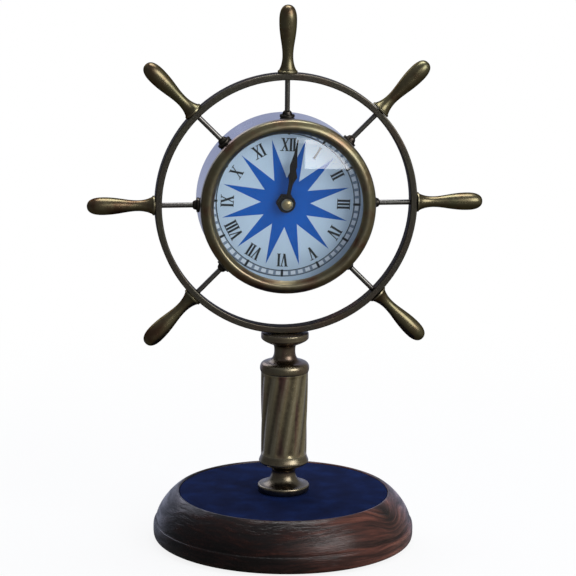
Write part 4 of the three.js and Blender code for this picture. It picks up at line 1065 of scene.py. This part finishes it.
studio = {"floor": "#eceef2", "floorSize": 6.0, "whiteNear": 0.1, "whiteFar": 0.6, "shadowShare": 0.13,
          "worldStrength": 0.6}
surroundings = {
    "behind": "#b5bbd4", "behindLow": "#55555c", "frontLeft": "#5c5d61", "frontRight": "#8f8e8a",
    "table": "#57544e", "ceiling": "#83868c", "left": "#8e9ab4", "right": "#eef0f4"}
clockMiddle = (0, 0, 0.17)
pane = (0.031, -0.01125, 0.2285)  # the spot of the glass that mirrors the window
lamps = {  # place, aim, width, height, watts and colour
    "keySoftbox": ((0.85, -0.95, 0.8), clockMiddle, 0.8, 0.8, 8.6, "#ffffff"),
    "frontSoftbox": ((0.35, -1.35, 0.85), clockMiddle, 0.8, 0.6, 1.3, "#ffffff"),
    "topSoftbox": ((0.1, 0.2, 1.3), clockMiddle, 0.8, 0.5, 8, "#ffffff"),
    "rearSoftbox": ((-0.5, 1.1, 0.85), clockMiddle, 0.8, 0.6, 2.5, "#ecedff"),
    "windowGlint": ((0.1397, -0.78, 0.0976), pane, 0.0493, 0.0246, 0.017, "#ffffff"),
    "windowGlintEdge": ((0.1192, -0.78, 0.1113), pane, 0.0244, 0.0073, 0.001, "#ffffff")}
camera = {"target": (0.00151, 0, 0.15026), "distance": 1.6, "azimuth": -7.5, "elevation": 12.45,
          "roll": 0.61, "lens": 172.4, "sensor": 36}


# White paper that takes the clock's soft shadow near it and is plain white further out.
# Metal doesn't see it: the world has a darker table in that direction.
def makeFloor():
    bm = bmesh.new()
    bmesh.ops.create_circle(bm, cap_ends=True, segments=96, radius=studio["floorSize"])
    floor = finishMesh("studioFloor", bm, Matrix.Translation((0, 0, -0.0003)))
    floor.visible_glossy = False
    floor.visible_transmission = False
    material, tree, shader = startMaterial("whitePaperSweep", {
        "Base Color": srgb(studio["floor"]), "Roughness": 0.9, "Specular IOR Level": 0.0})
    place = addNode(tree, "TexCoord").outputs["Object"]
    reach = addNode(tree, "VectorMath", {0: place}, operation="LENGTH")
    far = addNode(tree, "MapRange", {
        "Value": reach, "From Min": studio["whiteNear"], "From Max": studio["whiteFar"],
        "To Min": 1 - studio["shadowShare"], "To Max": 1.0}, interpolation_type="SMOOTHSTEP")
    glow = addNode(tree, "Emission", {"Color": white, "Strength": 1.0})
    seen = addNode(tree, "LightPath").outputs["Is Camera Ray"]
    share = addNode(tree, "Math", {0: seen, 1: far}, operation="MULTIPLY")
    both = addNode(tree, "MixShader", {"Fac": share, 1: shader, 2: glow})
    connect(tree, tree.nodes["Material Output"], {"Surface": both})
    dress(floor, material)


# The world is white to the camera. Metal and glass see a pale blue wall behind the clock, a
# dim room in front that is lighter to the right, and a table below. Diffuse light is stronger
# from the right too.
def makeWorld():
    world = bpy.data.worlds.new("studioWorld")
    bpy.context.scene.world = world
    world.use_nodes = True
    tree = world.node_tree
    towards = addNode(tree, "TexCoord").outputs["Generated"]
    direction = addNode(tree, "SeparateXYZ", {"Vector": towards}).outputs
    layers = {name: srgb(colour) for name, colour in surroundings.items()}
    # Each new layer goes from one layer to another between two values of an axis.
    for name, under, over, axis, start, end in (
            ("front", "frontLeft", "frontRight", "X", -1, 0.9),
            ("frontAndTable", "front", "table", "Z", -0.25, -0.8),
            ("room", "frontAndTable", "ceiling", "Z", 0.35, 0.95),
            ("wall", "behindLow", "behind", "Z", -0.36, -0.12),
            ("mirrored", "room", "wall", "Y", 0.55, 0.92),
            ("soft", "left", "right", "X", -0.8, 0.8)):
        share = addNode(tree, "MapRange", {"Value": direction[axis], "From Min": start, "From Max": end},
                        interpolation_type="SMOOTHSTEP")
        layers[name] = addNode(tree, "Mix", {"Factor": share, "A": layers[under], "B": layers[over]},
                               data_type="RGBA")
    path = addNode(tree, "LightPath").outputs
    seen = path["Is Camera Ray"]
    sharp = addNode(tree, "Math", {0: path["Is Glossy Ray"], 1: path["Is Transmission Ray"]},
                    operation="MAXIMUM")
    unseen = addNode(tree, "Mix", {"Factor": sharp, "A": layers["soft"], "B": layers["mirrored"]},
                     data_type="RGBA")
    colour = addNode(tree, "Mix", {"Factor": seen, "A": unseen, "B": white}, data_type="RGBA")
    plain = addNode(tree, "Math", {0: seen, 1: sharp}, operation="MAXIMUM")
    strength = addNode(tree, "MapRange", {"Value": plain, "To Min": studio["worldStrength"], "To Max": 1.0})
    connect(tree, tree.nodes["Background"], {"Color": colour, "Strength": strength})


def makeLamps():
    for name, (place, aim, width, height, power, colour) in lamps.items():
        light = bpy.data.lights.new(name, "AREA")
        light.shape = "RECTANGLE"
        light.size = width
        light.size_y = height
        light.energy = power
        light.color = srgb(colour)[:3]
        lamp = bpy.data.objects.new(name, light)
        lamp.location = place
        lamp.rotation_euler = (Vector(aim) - Vector(place)).to_track_quat("-Z", "Y").to_euler()
        lamp.visible_camera = False
        bpy.context.scene.collection.objects.link(lamp)


def makeCamera():
    azimuth, elevation = math.radians(camera["azimuth"]), math.radians(camera["elevation"])
    back = Vector((math.sin(azimuth) * math.cos(elevation), -math.cos(azimuth) * math.cos(elevation),
                   math.sin(elevation)))
    data = bpy.data.cameras.new("photoCamera")
    data.sensor_width = camera["sensor"]
    data.lens = camera["lens"]
    data.clip_start = 0.05
    data.clip_end = 20
    body = bpy.data.objects.new("photoCamera", data)
    body.location = Vector(camera["target"]) + back * camera["distance"]
    turn = (-back).to_track_quat("-Z", "Y").to_matrix().to_4x4()
    body.rotation_euler = (turn @ Matrix.Rotation(math.radians(camera["roll"]), 4, "Z")).to_euler()
    bpy.context.scene.collection.objects.link(body)
    bpy.context.scene.camera = body


makeFloor()
makeWorld()
makeLamps()
makeCamera()
bpy.context.scene.view_settings.view_transform = "Standard"
print("studio made")
